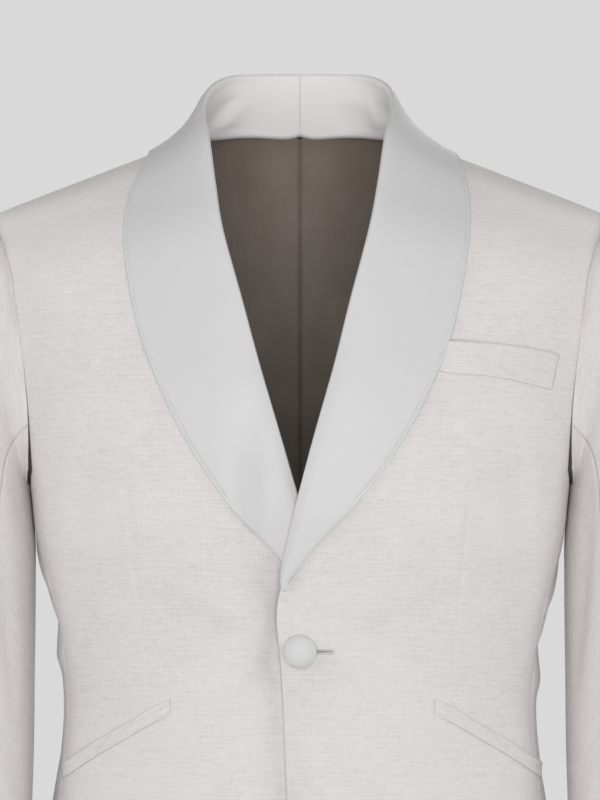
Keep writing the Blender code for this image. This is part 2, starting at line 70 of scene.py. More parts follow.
EYELET_RADIUS = 2.2
BUTTONHOLE_LENGTH = 23.0
LINING_GAP = 2.9
LINING_SIDE = 1.0  # degrees from the side seam
LINING_HEM, LINING_TOP = -710.0, 15.0
LINING_DROP = 1.2  # of the lining's neck edge below the back's
NECK_AXIS_Y = 5.0
HIP_SHIFT = {"left": 2.5, "right": -1.0}
ARMHOLE_POINTS = 60

# One ring a row, from the hem up to the shoulder line. Height is at the centre, and slope is the drop for
# each millimetre outwards.
BODY = {
    "height": (-735, -700, -600, -501, -430, -368, -307, -262, -197, -140, -104, -66, -38, -10, 6, 15, 21,
               24, 25),
    "slope": (0, 0, 0, 0, 0, 0, 0, 0.03, 0.08, 0.13, 0.17, 0.225, 0.27, 0.32, 0.345, 0.362, 0.374, 0.38,
              0.382),
    "half_width": (206, 204, 196, 183.2, 176.7, 183.5, 197, 201.5, 210, 217.5, 222, 226, 229, 231.5, 231.5,
                   231, 230.8, 230.5, 230.3),
    "front": (128, 127, 123, 118, 116, 121, 129, 133, 130, 120.5, 112, 99, 84, 62, 47, 34, 20.5, 9, 0),
    "back": (132, 130, 122, 110, 105, 108, 115, 121, 124, 119, 112, 100, 89, 74, 60.5, 47, 30, 13, 0),
    "middle": (0, 0, 0, 0, 0, 0, 0, 0, 0, 1.5, 3, 4.5, 6, 7.5, 8, 8, 8, 8, 8),
}
# The left front's edge, as its distance past the centre. Above the lapel's lower tip it lies in the
# shawl's fold.
FRONT_EDGE = {
    "height": (-735, -725, -715, -675, -620, -560, -490, -420, -388, -362, -345, -338, -331, -300, -271, -225,
               -178, -131, -80, -40, -20, 0, 13, 20, 25),
    "across": (92, 74, 60, 32, 10, -4, -9.5, -12.5, -14.5, -17, -15.5, -13.5, -10, -3, 3, 16, 29.3,
               42, 54, 64, 70, 76, 81, 83.5, 85),
}
# The side panel's two seams, and above them the armhole's edge on the front and on the back
SIDE_SEAM = {"height": (-735, -430, -245, -215), "front": (74, 75, 77, 77), "back": (112, 113, 113.9, 114)}
ARMHOLE_FRONT = {"height": (-245, -225, -197, -160, -104, -38, -10, 13.5, 25),
                 "angle": (77, 73.5, 71, 69.5, 69, 70.5, 74, 82, 90)}
ARMHOLE_BACK = {"height": (-215, -197, -160, -104, -38, -10, 13.5, 25),
                "angle": (114, 115.5, 115, 114, 111, 107, 99, 90)}
BACK_NECK = {"height": (5, 6, 8, 12, 18, 25), "angle": (180, 179, 175, 169.5, 165, 162)}
UNDERARM = {"angle": (77, 84, 90, 97, 106, 114), "height": (-245, -258, -262.5, -258, -240, -215)}

# The shawl, a row for each section from its lower tip to the centre back. The crown is the middle of the
# fold. The edge is given across and by its height at the centre, on the front or the back of the body. The
# right one runs wider, because the left one laps over it.
SHAWL = {
    "crown_x": (-12.4, -11.5, -4.6, 2.3, 14.5, 27.8, 39.5, 53, 60, 65.5, 70, 71, 66, 52, 30, 0),
    "crown_y": (-126, -125.1, -128.8, -131.4, -130.6, -125.8, -117.4, -104.4, -82, -55, -25, 5, 32, 56, 70,
                74),
    "crown_z": (-340, -330, -300, -271, -225, -178, -131, -80, -44.6, -10, 8, 22, 33.5, 41.5, 43.5, 44),
    "edge_x": (-11.6, -8, 14, 38, 68.3, 92.2, 110, 121.5, 124, 121.5, 118.5, 113.5, 98, 74, 42, 0),
    "edge_height": (-340.5, -332.5, -305, -279, -237, -188, -135, -66, -23, 3.4, 21, 24, 16.5, 11, 1, -3),
    "edge_back": (0, 0, 0, 0, 0, 0, 0, 0, 0, 0, 0, 1, 1, 1, 1, 1),
    "lift": (0.2, 0.6, 1, 1, 1.4, 2.4, 2.4, 1.4, 1, 1, 1.2, 1.9, 2, 1.8, 1.6, 1.5),
    "bulge": (0, 0.5, 1, 1.5, 2, 2, 2, 1, -2, -6, -11, -13, -10, -5, -1, 1),
    "crown_wider": (0, 0, 1, 2.8, 4, 4.5, 5.5, 6, 5, 4.5, 4, 2, 0, 0, 0, 0),
    "edge_wider": (4, 8, 11, 11, 8, 6.5, 6, 6, 2.5, -2, -5.5, -3, -1, 0, 0, 0),
    "seam_height": (-340, -331, -300, -271, -225, -178, -131, -80, -40, -15, 10, 25, 17, 9.5, 6.5, 5),
}

# The sleeve, a row for each ring: its inner and outer points, its middle and its half depth
SLEEVE = {
    "inner_x": (202.8, 202.3, 201.2, 199.9, 198.7, 198.4, 198.2, 198.5, 199, 201, 204, 208),
    "inner_z": (-272, -278, -286, -298, -312, -332, -365, -410, -470, -540, -610, -690),
    "outer_x": (243, 266, 287, 302, 311, 316, 319, 319, 317, 313, 308, 303),
    "outer_z": (-66, -80, -106, -145, -195, -255, -330, -400, -465, -537, -608, -690),
    "middle_y": (4, 2, 0, -2, -3, -4, -6, -9, -14, -24, -36, -48),
    "half_depth": (58, 63, 67, 69, 70, 70, 68, 66, 63, 59, 55, 50),
}
SLEEVE_ROUNDNESS = 2.15
SLEEVE_CROWDING = 1.3  # draws the columns to the shoulder point
SLEEVE_START = 0.5  # gap from the armhole to the sleeve
# Heights between which the sleeve's wall turns from beside the body to over it
UNDERARM_TURN = (-258.0, -205.0)
UNDER_SLEEVE = (126, 234)  # degrees from the sleeve's outer side

# Pocket welts on the front: their upper edge and depth
BREAST_WELT = {"x": (98, 107.6, 135, 162, 188.8), "z": (-158.5, -160, -161.5, -164.5, -169),
               "depth": (22, 23, 23.5, 24.5, 26), "lift": (0.7, 0.7, 0.7, 0.7, 0.7)}
HIP_WELT = {"x": (95, 110, 130, 152, 176), "z": (-419, -427, -440, -454, -472),
            "depth": (11.5, 11, 10.5, 10.5, 10.5), "lift": (0.8, 0.9, 1.2, 1.7, 3.2)}

# How far the wearer's right front sinks where the left one lies on it
OVERLAP_HEIGHT = (-735, -420, -345, -258, -190)
OVERLAP_DEPTH = (4.5, 4.5, 9, 9, 0)
OVERLAP_FULL, OVERLAP_NONE = 20.0, 55.0


def smooth(keys, values, at):
    """A curve through (keys, values) with no corners, read at each number of at."""
    keys, values = np.asarray(keys, float), np.asarray(values, float)
    steps = np.diff(keys)
    slopes = np.diff(values) / steps
    tangents = np.empty_like(values)
    tangents[0], tangents[-1] = slopes[0], slopes[-1]
    tangents[1:-1] = (slopes[:-1] * steps[1:] + slopes[1:] * steps[:-1]) / (steps[:-1] + steps[1:])
    at = np.clip(at, keys[0], keys[-1])
    row = np.clip(np.searchsorted(keys, at, side="right") - 1, 0, len(steps) - 1)
    t = (at - keys[row]) / steps[row]
    return (
        values[row] * (1 + 2 * t) * (1 - t) ** 2
        + values[row + 1] * t * t * (3 - 2 * t)
        + steps[row] * tangents[row] * t * (1 - t) ** 2
        - steps[row] * tangents[row + 1] * t * t * (1 - t)
    )


def read(table, key, column, at):
    return smooth(table[key], table[column], at)


def smoothstep(start, end, at):
    t = np.clip((np.asarray(at, float) - start) / (end - start), 0, 1)
    return t * t * (3 - 2 * t)


TOP_LEVEL = len(BODY["height"]) - 1
LEVELS = np.linspace(0, TOP_LEVEL, 40 * TOP_LEVEL + 1)


def ring(column, level):
    return smooth(range(TOP_LEVEL + 1), BODY[column], level)


def level_at(height):
    return np.interp(height, ring("height", LEVELS), LEVELS)


def neck_rise(across, height):
    """How far the cloth climbs towards the neck, at each side of it."""
    beside = smoothstep(0, NECK_NEAR, across) * (1 - smoothstep(NECK_FAR, NECK_END, across))
    return NECK_RISE * beside * smoothstep(NECK_FADE, 0, height)


def level_through(x, z):
    """The level whose ring passes through x and z."""
    heights = ring("height", LEVELS)
    return np.interp(z, heights - ring("slope", LEVELS) * abs(x) + neck_rise(abs(x), heights), LEVELS)


def power(base, exponent):
    return np.sign(base) * np.abs(base) ** exponent


def form(angle, level):
    """Outer face of the cloth at an angle from the front centre, on the +X side."""
    angle, level = np.broadcast_arrays(np.radians(angle), level)
    across = ring("half_width", level) * power(np.sin(angle), 2 / ROUNDNESS)
    ahead = power(np.cos(angle), 2 / ROUNDNESS)
    depth = np.where(ahead > 0, ring("front", level), ring("back", level))
    height = ring("height", level)
    climb = neck_rise(np.abs(across), height) - ring("slope", level) * np.abs(across)
    return np.stack([across, ring("middle", level) - depth * ahead, height + climb], axis=-1)


def normal(angle, level):
    """Outward direction of the form."""
    turn, rise = 0.2, 0.02
    level = np.minimum(level, TOP_LEVEL - rise)
    along = form(np.add(angle, turn), level) - form(np.subtract(angle, turn), level)
    up = form(angle, np.add(level, rise)) - form(angle, np.maximum(np.subtract(level, rise), 0))
    out = np.cross(along, up)
    return out / np.linalg.norm(out, axis=-1, keepdims=True)


def angle_of(x, level, back=False):
    """The angle whose point on this level's ring lies x from the centre plane."""
    share = np.clip(np.abs(x) / ring("half_width", level), 0, 1)
    angle = np.degrees(np.arcsin(share ** (ROUNDNESS / 2))) * np.sign(x)
    return np.where(back, 180 - angle, angle)


def on_form(angle, level, out=0.0):
    return form(angle, level) + normal(angle, level) * np.asarray(out)[..., None]


def on_front(x, z, out):
    level = level_through(x, z)
    return on_form(angle_of(x, level), level, out)


def wider(column, side, rows):
    """How much wider the right lapel is than the left, which is the drafted one."""
    return np.array(SHAWL[column], float)[rows] * (side < 0)


def edge_across(side, height):
    """A front's edge, then its neck edge, from the centre plane."""
    in_front = slice(0, SHAWL["edge_back"].index(1) + 1)
    more = np.interp(height, SHAWL["seam_height"][in_front], wider("crown_wider", side, in_front))
    return read(FRONT_EDGE, "height", "across", height) + more


def front_end(level):
    """Where the front ends: at the side panel and, above it, at the sleeve."""
    height = ring("height", level)
    seam = np.interp(height, SIDE_SEAM["height"], SIDE_SEAM["front"])
    return np.where(height < ARMHOLE_FRONT["height"][0], seam, read(ARMHOLE_FRONT, "height", "angle", height))


def back_start(level):
    height = ring("height", level)
    seam = np.interp(height, SIDE_SEAM["height"], SIDE_SEAM["back"])
    return np.where(height < ARMHOLE_BACK["height"][0], seam, read(ARMHOLE_BACK, "height", "angle", height))


def sink(points):
    """The wearer's right front, mirrored, set in where the left one lies on it."""
    depth = np.interp(points[..., 2], OVERLAP_HEIGHT, OVERLAP_DEPTH)
    share = 1 - smoothstep(OVERLAP_FULL, OVERLAP_NONE, points[..., 0])
    sunk = points.copy()
    sunk[..., 1] += depth * share
    return sunk


def neck_or_centre(level, drop=0.0):
    """The centre back seam and, above it, the neck edge, as much lower as drop."""
    neck = read(BACK_NECK, "height", "angle", ring("height", level) + drop)
    return np.minimum(neck, 180)


def armhole(share):
    """The armhole's edge: share runs from 0 at the shoulder, forwards, to 0.5 under the arm and 1 again."""
    top = BODY["height"][-1]
    front_levels = level_at(np.linspace(top, UNDERARM["height"][0], ARMHOLE_POINTS))
    back_levels = level_at(np.linspace(UNDERARM["height"][-1], top, ARMHOLE_POINTS))
    base = np.linspace(UNDERARM["angle"][0], UNDERARM["angle"][-1], ARMHOLE_POINTS + 1)
    loop = np.concatenate([
        form(front_end(front_levels), front_levels),
        form(base, level_at(read(UNDERARM, "angle", "height", base))),
        form(back_start(back_levels), back_levels),
    ])
    run = np.concatenate([[0], np.cumsum(np.linalg.norm(np.diff(loop, axis=0), axis=1))])
    lowest = run[np.argmin(loop[:, 2])]
    along = np.interp(share, [0, 0.5, 1], [0, lowest, run[-1]])
    return np.stack([np.interp(along, run, loop[:, axis]) for axis in range(3)], axis=-1)


def sleeve_grid(turn):
    """Rings from the armhole to the cuff, on the sleeve's inner face, at angles from its outer side."""
    edge = armhole(np.mod(turn, 360) / 360)
    centre = armhole(np.linspace(0, 1, ARMHOLE_POINTS)).mean(axis=0)
    inwards = (centre - edge) * (0, 1, 1)
    inwards /= np.linalg.norm(inwards, axis=-1, keepdims=True)
    under = (1 - smoothstep(*UNDERARM_TURN, edge[:, 2]))[:, None]
    inwards = inwards * (1 - under) + np.array((1, 0, 0)) * under
    rings = [edge + (SLEEVE_START, 0, 0) + inwards * CLOTH]
    ahead = power(np.sin(np.radians(turn)), 2 / SLEEVE_ROUNDNESS)[:, None]
    out = power(np.cos(np.radians(turn)), 2 / SLEEVE_ROUNDNESS)[:, None]
    for inner_x, inner_z, outer_x, outer_z, middle_y, half_depth in zip(*SLEEVE.values()):
        inner, outer = np.array((inner_x, middle_y, inner_z)), np.array((outer_x, middle_y, outer_z))
        reach = (outer - inner) / 2
        reach *= 1 - CLOTH / np.linalg.norm(reach)
        rings.append((inner + outer) / 2 + reach * out + (0, CLOTH - half_depth, 0) * ahead)
    return np.array(rings)


def along_rows(points, at):
    """A smooth curve through a row of points, read at each number of at."""
    rows = range(len(points))
    return np.stack([smooth(rows, points[:, axis], at) for axis in range(3)], axis=-1)


def shawl_lines(side):
    """The crown, the outer edge, and the inner leg's bend and end, a point for each row of the table."""
    crown = np.stack([SHAWL["crown_x"], SHAWL["crown_y"], SHAWL["crown_z"]], axis=-1).astype(float)
    every = slice(None)
    crown[:, 0] += wider("crown_wider", side, every)
    behind = np.array(SHAWL["edge_back"]) == 1
    edge_level = level_at(np.array(SHAWL["edge_height"]))
    edge_x = np.where(crown[:, 0] > 0, np.maximum(SHAWL["edge_x"], EDGE_LEAST), SHAWL["edge_x"])
    edge_angles = angle_of(edge_x + wider("edge_wider", side, every), edge_level, behind)
    edge = on_form(edge_angles, edge_level, np.array(SHAWL["lift"]) + SATIN)
    rows = np.arange(len(crown)) - 1
    down = smoothstep(4.0, 9.0, rows)
    seam_height = np.array(SHAWL["seam_height"], float)
    seam_level = level_at(seam_height)
    end_level = level_at(seam_height - STAND_REACH * down)
    depth = FACING_DEPTH + (STAND_DEPTH - FACING_DEPTH) * smoothstep(2.0, 6.0, rows)
    front_x = edge_across(side, seam_height)
    neck = np.sin(np.radians(read(BACK_NECK, "height", "angle", seam_height)))
    seam_x = np.where(behind, ring("half_width", seam_level) * np.abs(neck) ** (2 / ROUNDNESS), front_x)
    bend = on_form(angle_of(seam_x, seam_level, behind), seam_level, -depth)
    end_angles = angle_of(seam_x + FACING_REACH * (1 - down), end_level, behind)
    return crown, edge, bend, on_form(end_angles, end_level, -depth)


ALLOWANCE = 1.3  # degrees that the cloth runs on inside the sleeve
TOP_MARGIN = 0.02  # how far under the shoulder line the body's panels end
SIDE_TOP = -285  # height from which the side panel's rows follow the underarm
WELT_LIFT = 0.7
SEAM_ROLL, SEAM_WIDTH = 0.7, 2.2  # how deep each panel's edge turns into a seam, and over what width
HEM_ROLL, HEM_WIDTH = 0.5, 3.0
SLEEVE_SEAM_ROLL = 0.22
SLEEVE_RADIUS = 70  # at which distances round the sleeve are measured
HEAD_FULLNESS, HEAD_PLACE, HEAD_WIDTH = 1.3, 9, 7  # the swell of the sleeve's head beyond its seam
COLUMNS = {"front": 130, "back": 90, "side": 36, "lining": 60, "top": 150, "under": 64, "welt": 80}
BODY_ROWS, SLEEVE_ROWS, SHAWL_ROWS = 180, 140, 290
SIDE_ROWS, UNDERARM_ROWS, LINING_ROWS, WELT_ROWS = 110, 12, 150, 24
ROW_CROWDING = 1.15  # draws the sleeve's rows to its head
# Columns of the shawl's facing, of its inner leg, round its crown and over its outer face
FACING_COLUMNS, LEG_COLUMNS, CROWN_COLUMNS, OUTER_COLUMNS = 5, 25, 13, 70
CROWN_COLUMN = FACING_COLUMNS + LEG_COLUMNS + CROWN_COLUMNS
STAND_COLUMNS = CROWN_COLUMN - 6  # those inside the collar, which take the lapels' satin painted paler and warmer, as painted light on the collar's inside
CROWN_PASSES = 120  # how often the crown's columns are averaged with their neighbours
# How much higher the stand's lower edge is drawn than its solid's, at these stations
STAND_RISE = ((10.5, 12.0, 12.8, 14.0), (0.0, -1.2, 0.3, 1.9))
STATION = 12  # millimetres that one station counts for in STAND_FOLDS
STAND_SEAM, STAND_SEAM_DEPTH, STAND_SEAM_WIDTH = 6.5, 0.5, 0.9
EDGE_ROLL, EDGE_WIDTH = 0.5, 1.2  # of the shawl's outer edge
PICK_START, PICK_INSET, PICK_PERIOD, PICK_LENGTH, PICK_RADIUS = 95.0, 2.2, 4.2, 1.9, 0.42
PICK_GROOVE, PICK_RIPPLE, PICK_WIDTH = 0.25, 0.6, 1.1  # what the stitches draw the satin in
PICK_UNEVENNESS = 0.12
THREAD_RADIUS, THREAD_STEP, THREAD_START = 0.34, 0.62, 3.4  # of the buttonhole's stitches
SLIT_WIDTH, SLIT_END, CUTTER_LENGTH = 1.1, 0.25, 10  # the slit's width, and its share of it at the far end
FLOOR_RADIUS, FLOOR_HEIGHT, FLOOR_POINTS = 2.6, -1.0, 96  # in metres


def arc_levels(lowest, highest, rows):
    """Levels evenly spaced along the form, between two heights."""
    levels = np.linspace(level_at(lowest), level_at(highest), 1500)
    line = form(np.full_like(levels, 40.0), levels)
    run = np.concatenate([[0], np.cumsum(np.linalg.norm(np.diff(line, axis=0), axis=1))])
    return np.interp(np.linspace(0, run[-1], rows + 1), run, levels)


def spread(columns):
    """Shares from 0 to 1, closer together at both ends, where the seams turn."""
    t = np.linspace(0, 1, columns + 1)
    return 0.45 * t + 0.55 * smoothstep(0, 1, t)


def run_along(points, axis):
    """Distance along a grid's rows or columns, and the whole of it."""
    steps = np.linalg.norm(np.diff(points, axis=axis), axis=-1)
    start = np.zeros_like(np.take(steps, [0], axis=axis))
    run = np.concatenate([start, np.cumsum(steps, axis=axis)], axis=axis)
    return run, np.take(run, [-1], axis=axis)


def grid_normals(points):
    along = np.gradient(points, axis=1)
    up = np.gradient(points, axis=0)
    out = np.cross(along, up)
    return out / np.maximum(np.linalg.norm(out, axis=-1, keepdims=True), 1e-9)


def fold_depths(across, up, folds, gain=1.0):
    """Height of every fold at each place of a chart. A fold is its line, half width and height."""
    total = np.zeros_like(across)
    for line, width, height in folds:
        height *= gain
        line = np.array(line, float)
        steps = np.diff(line, axis=0)
        lengths = np.linalg.norm(steps, axis=1)
        run = np.concatenate([[0], np.cumsum(lengths)])
        best = np.full_like(across, 1e9)
        share = np.zeros_like(across)
        for start, step, length, before in zip(line, steps, lengths, run):
            t = ((across - start[0]) * step[0] + (up - start[1]) * step[1]) / length**2
            t = np.clip(t, 0, 1)
            far = np.hypot(across - start[0] - t * step[0], up - start[1] - t * step[1])
            nearer = far < best
            best = np.where(nearer, far, best)
            share = np.where(nearer, (before + t * length) / run[-1], share)
        swell = np.sin(np.pi * np.clip(share, 0, 1))
        total += height * swell**0.8 * np.exp(-((best / (width * (0.55 + 0.45 * swell))) ** 2))
    return total


def seam_roll(points, sides, depth=SEAM_ROLL, width=SEAM_WIDTH):
    """How far the cloth turns in beside its seams. Sides are start, end, bottom and top."""
    across, whole = run_along(points, 1)
    up, height = run_along(points, 0)
    fall = {"start": across, "end": whole - across, "bottom": up, "top": height - up}
    return -depth * sum(np.exp(-((fall[side] / width) ** 2)) for side in sides)


def straight_grain(points):
    """Warp upright and weft level on a body panel, and along the cloth over the shoulder."""
    across, whole = run_along(points, 1)
    front = points[..., 1].mean() < 0
    if front:
        out = across + points[:, :1, 0]
    else:
        out = whole - across + points[:, -1:, 0]
    over = smoothstep(-120, -20, points[..., 2]) * (points[..., 1] + 120) * (0.9 if front else -0.9)
    return np.stack([out, points[..., 2] + over], axis=-1)


def put(name, data):
    thing = bpy.data.objects.new(name, data)
    bpy.context.scene.collection.objects.link(thing)
    return thing


def add_cloth(
    name, side, points, finishes, thickness=CLOTH, outwards=False, node=None, grain=None
):
    """One cloth piece: a grid in millimetres, its grain as UVs in metres, and a wall."""
    points = points * (side, 1, 1)
    rows, columns = points.shape[:2]
    mesh = bpy.data.meshes.new(name)
    index = np.arange(rows * columns).reshape(rows, columns)
    corners = np.stack([index[:-1, :-1], index[:-1, 1:], index[1:, 1:], index[1:, :-1]], axis=-1)
    corners = corners.reshape(-1, 4)
    if side < 0:
        corners = corners[:, ::-1]
    mesh.from_pydata((points.reshape(-1, 3) * MM).tolist(), [], corners.tolist())
    if grain is None:
        across, _ = run_along(points, 1)
        up, _ = run_along(points, 0)
        middle = across[:, columns // 2][:, None]
        grain = np.stack([across - middle, up], axis=-1)
    grain = grain.reshape(-1, 2) * MM
    layer = mesh.uv_layers.new(name="Grain")
    layer.data.foreach_set("uv", grain[corners.reshape(-1)].astype(np.float32).reshape(-1))
    mesh.shade_smooth()
    thing = put(name, mesh)
    for finish in finishes:
        mesh.materials.append(finish)
    wall = thing.modifiers.new("Wall", "SOLIDIFY")
    wall.thickness = thickness * MM
    wall.offset = 1 if outwards else -1
    if len(finishes) > 1:
        wall.material_offset = 1
    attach(thing, "root")
    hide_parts(node)
    return thing


# Folds of the cloth: a line of (across, height) points, a half width and a height, negative for a trough.
# On the fronts across is the distance from the centre plane, towards the wearer's left.
FRONT_FOLDS = (
    (((-24, -392), (-60, -372), (-112, -352), (-150, -318)), 11, -1.1),
    (((-30, -372), (-66, -346), (-104, -322)), 9, 0.8),
    (((-22, -400), (-70, -412), (-120, -404), (-158, -392)), 12, 0.9),
    (((30, -380), (70, -362), (116, -346), (156, -322)), 12, -1.0),
    (((34, -396), (84, -404), (130, -394), (160, -384)), 11, 0.9),
    (((24, -410), (46, -450), (60, -520), (64, -590)), 16, -1.2),
    (((-34, -420), (-58, -470), (-66, -540), (-70, -610)), 18, -1.1),
    (((152, -205), (158, -250), (160, -300), (164, -345)), 11, -1.6),
    (((168, -215), (174, -262), (172, -315)), 8, 1.2),
    (((-150, -212), (-158, -262), (-161, -318), (-163, -352)), 12, -1.5),
    (((-168, -222), (-174, -272), (-171, -322)), 8, 1.1),
    (((120, -480), (126, -540), (122, -620), (126, -690)), 20, 1.6),
    (((-118, -490), (-124, -560), (-122, -640), (-128, -700)), 22, 1.5),
    (((-8, -262), (-13, -345), (-17, -395), (-15, -450), (-10, -520), (-4, -660)), 12, -5.5),
    (((96, -205), (104, -232), (122, -262)), 13, -0.6),
    (((-96, -196), (-108, -224), (-128, -258)), 14, -0.6),
)
# The darts, from the top down: each is a groove beside a low ridge, which lies further from the centre
DART_LINES = (
    ((-130, -222), (-127, -260), (-122, -305), (-118, -347), (-110, -402), (-107, -424)),
    ((127, -234), (121, -290), (117.5, -325), (111, -394), (108.5, -422)),
)
DART_WIDTH, DART_DEPTH, RIDGE_HEIGHT, RIDGE_SHIFT = 1.6, 1.0, 0.45, 2.4
DARTS = tuple((line, DART_WIDTH, -DART_DEPTH) for line in DART_LINES) + tuple(
    (tuple((x + math.copysign(RIDGE_SHIFT, x), z) for x, z in line), DART_WIDTH, RIDGE_HEIGHT)
    for line in DART_LINES
)
# On the backs across is the distance from the centre plane
BACK_FOLDS = (
    (((20, -372), (64, -362), (116, -350), (158, -322)), 12, -1.6),
    (((14, -396), (58, -392), (104, -384), (150, -364)), 10, 1.3),
    (((12, -420), (50, -424), (96, -416), (140, -402)), 12, -1.3),
    (((-16, -366), (-60, -352), (-108, -346), (-152, -330)), 13, -1.5),
    (((-12, -390), (-64, -384), (-118, -372), (-150, -356)), 10, 1.3),
    (((-14, -424), (-70, -420), (-124, -396)), 12, -1.2),
    (((132, -130), (144, -190), (148, -250), (142, -300)), 15, 2.2),
    (((112, -150), (120, -205), (122, -262)), 12, -1.6),
    (((-134, -124), (-146, -186), (-146, -252), (-138, -310)), 16, 2.2),
    (((-110, -146), (-120, -210), (-118, -268)), 12, -1.7),
    (((-70, -22), (-24, -30), (24, -29), (66, -20)), 9, 1.1),
    (((-58, -46), (0, -54), (52, -44)), 11, -1.0),
    (((60, -470), (72, -540), (76, -620), (84, -700)), 22, 1.8),
    (((-64, -474), (-74, -552), (-82, -640), (-84, -712)), 20, 1.8),
    (((128, -480), (134, -560), (132, -660)), 18, -1.5),
    (((-126, -476), (-136, -550), (-130, -664)), 18, -1.6),
)
# On the side panels across is the distance from the middle of the side, forwards
SIDE_FOLDS = (
    (((-40, -352), (0, -372), (42, -384)), 10, -1.4),
    (((-44, -396), (-4, -402), (40, -404)), 10, 1.1),
    (((-30, -300), (4, -332), (40, -352)), 9, 0.9),
    (((-10, -470), (-6, -560), (-14, -660)), 18, 1.5),
)
# On the sleeves across is the distance round from the outer side, forwards, at SLEEVE_RADIUS
SLEEVE_FOLDS = (
    (((30, -150), (62, -200), (96, -262), (110, -330)), 11, -1.8),
    (((70, -190), (98, -240), (124, -300)), 9, 1.5),
    (((20, -404), (62, -420), (104, -452), (132, -468)), 10, -2.2),
    (((28, -432), (66, -446), (100, -478)), 8, 1.7),
    (((44, -380), (84, -392), (124, -418)), 8, 1.4),
    (((60, -462), (96, -492), (126, -520)), 9, -1.7),
    (((-20, -392), (-66, -400), (-112, -424), (-150, -430)), 11, 1.6),
    (((-26, -424), (-70, -436), (-120, -462)), 9, -2.0),
    (((-60, -468), (-100, -486), (-148, -500)), 10, 1.5),
    (((-70, -140), (-88, -210), (-104, -290)), 13, -1.8),
    (((12, -600), (52, -612), (92, -640)), 11, -1.3),
    (((-16, -566), (-60, -584), (-110, -590)), 12, 1.3),
    (((30, -120), (36, -200), (26, -300), (20, -372)), 16, 1.3),
    (((160, -250), (176, -330), (190, -420)), 12, -1.4),
    (((-160, -260), (-178, -350), (-186, -430)), 12, 1.3),
)
# How much deeper than these tables the creases are, and how each sleeve's are stretched round, moved round
# and moved down
SIDE_GAIN, BACK_GAIN, LINING_GAIN = 2.4, 1.7, 0.5
SLEEVE_CREASES = {1: (1, 0, 0, 2.6), -1: (1.06, 5, 16, 2.3)}
SIDE_SHIFT = 9  # of the side creases, down on the left and up on the right
LINING_SHIFT = (8, -20)


def new_nodes(name, roughness, sheen):
    """A material with its shader, and helpers to add and join nodes."""
    material = bpy.data.materials.new(name)
    material.use_nodes = True
    tree = material.node_tree
    shader = tree.nodes["Principled BSDF"]
    shader.inputs["Roughness"].default_value = roughness
    shader.inputs["Sheen Weight"].default_value = sheen
    shader.inputs["Sheen Roughness"].default_value = 0.5
    return material, tree, shader


def along_grain(tree):
    grain = tree.nodes.new("ShaderNodeUVMap")
    grain.uv_map = "Grain"
    return grain.outputs["UV"]


def add_noise(tree, coordinates, stretch, detail=3.0, distortion=0.0):
    """Noise whose features are 1/stretch metres long in each direction."""
    place = tree.nodes.new("ShaderNodeMapping")
    place.inputs["Scale"].default_value = stretch
    tree.links.new(coordinates, place.inputs["Vector"])
    noise = tree.nodes.new("ShaderNodeTexNoise")
    noise.inputs["Scale"].default_value = 1.0
    noise.inputs["Detail"].default_value = detail
    noise.inputs["Distortion"].default_value = distortion
    tree.links.new(place.outputs["Vector"], noise.inputs["Vector"])
    return noise.outputs["Fac"]


def add_waves(tree, coordinates, angle, period, distortion):
    """Parallel ridges, a period in metres apart."""
    place = tree.nodes.new("ShaderNodeMapping")
    place.inputs["Rotation"].default_value = (0, 0, angle)
    tree.links.new(coordinates, place.inputs["Vector"])
    wave = tree.nodes.new("ShaderNodeTexWave")
    wave.wave_profile = "SIN"
    wave.inputs["Scale"].default_value = math.pi / (10 * period)
    wave.inputs["Distortion"].default_value = distortion
    wave.inputs["Detail"].default_value = 2.0
    wave.inputs["Detail Scale"].default_value = 2.0
    tree.links.new(place.outputs["Vector"], wave.inputs["Vector"])
    return wave.outputs["Fac"]


def calculate(tree, operation, first, second):
    node = tree.nodes.new("ShaderNodeMath")
    node.operation = operation
    for socket, value in zip(node.inputs, (first, second)):
        if isinstance(value, (int, float)):
            socket.default_value = value
        else:
            tree.links.new(value, socket)
    return node.outputs["Value"]


def mixed(tree, *parts):
    """The sum of each value's swing round its middle, times its amount."""
    total = 0.0
    for value, amount in parts:
        swing = calculate(tree, "MULTIPLY", calculate(tree, "SUBTRACT", value, 0.5), amount)
        total = calculate(tree, "ADD", total, swing)
    return total


def colour_by(tree, shader, tone, dark, middle, light):
    """Colours between dark, at a tone of -0.5, and light, at 0.5."""
    ramp = tree.nodes.new("ShaderNodeValToRGB")
    ramp.color_ramp.elements[0].color = (*dark, 1)
    ramp.color_ramp.elements[1].color = (*light, 1)
    ramp.color_ramp.elements.new(0.5).color = (*middle, 1)
    tree.links.new(calculate(tree, "ADD", tone, 0.5), ramp.inputs["Fac"])
    tree.links.new(ramp.outputs["Color"], shader.inputs["Base Color"])


def bump_by(tree, shader, value, height):
    bump = tree.nodes.new("ShaderNodeBump")
    bump.inputs["Strength"].default_value = 1.0
    bump.inputs["Distance"].default_value = height
    tree.links.new(value, bump.inputs["Height"])
    tree.links.new(bump.outputs["Normal"], shader.inputs["Normal"])


def tinted(colour, share):
    return tuple(channel * share for channel in colour)


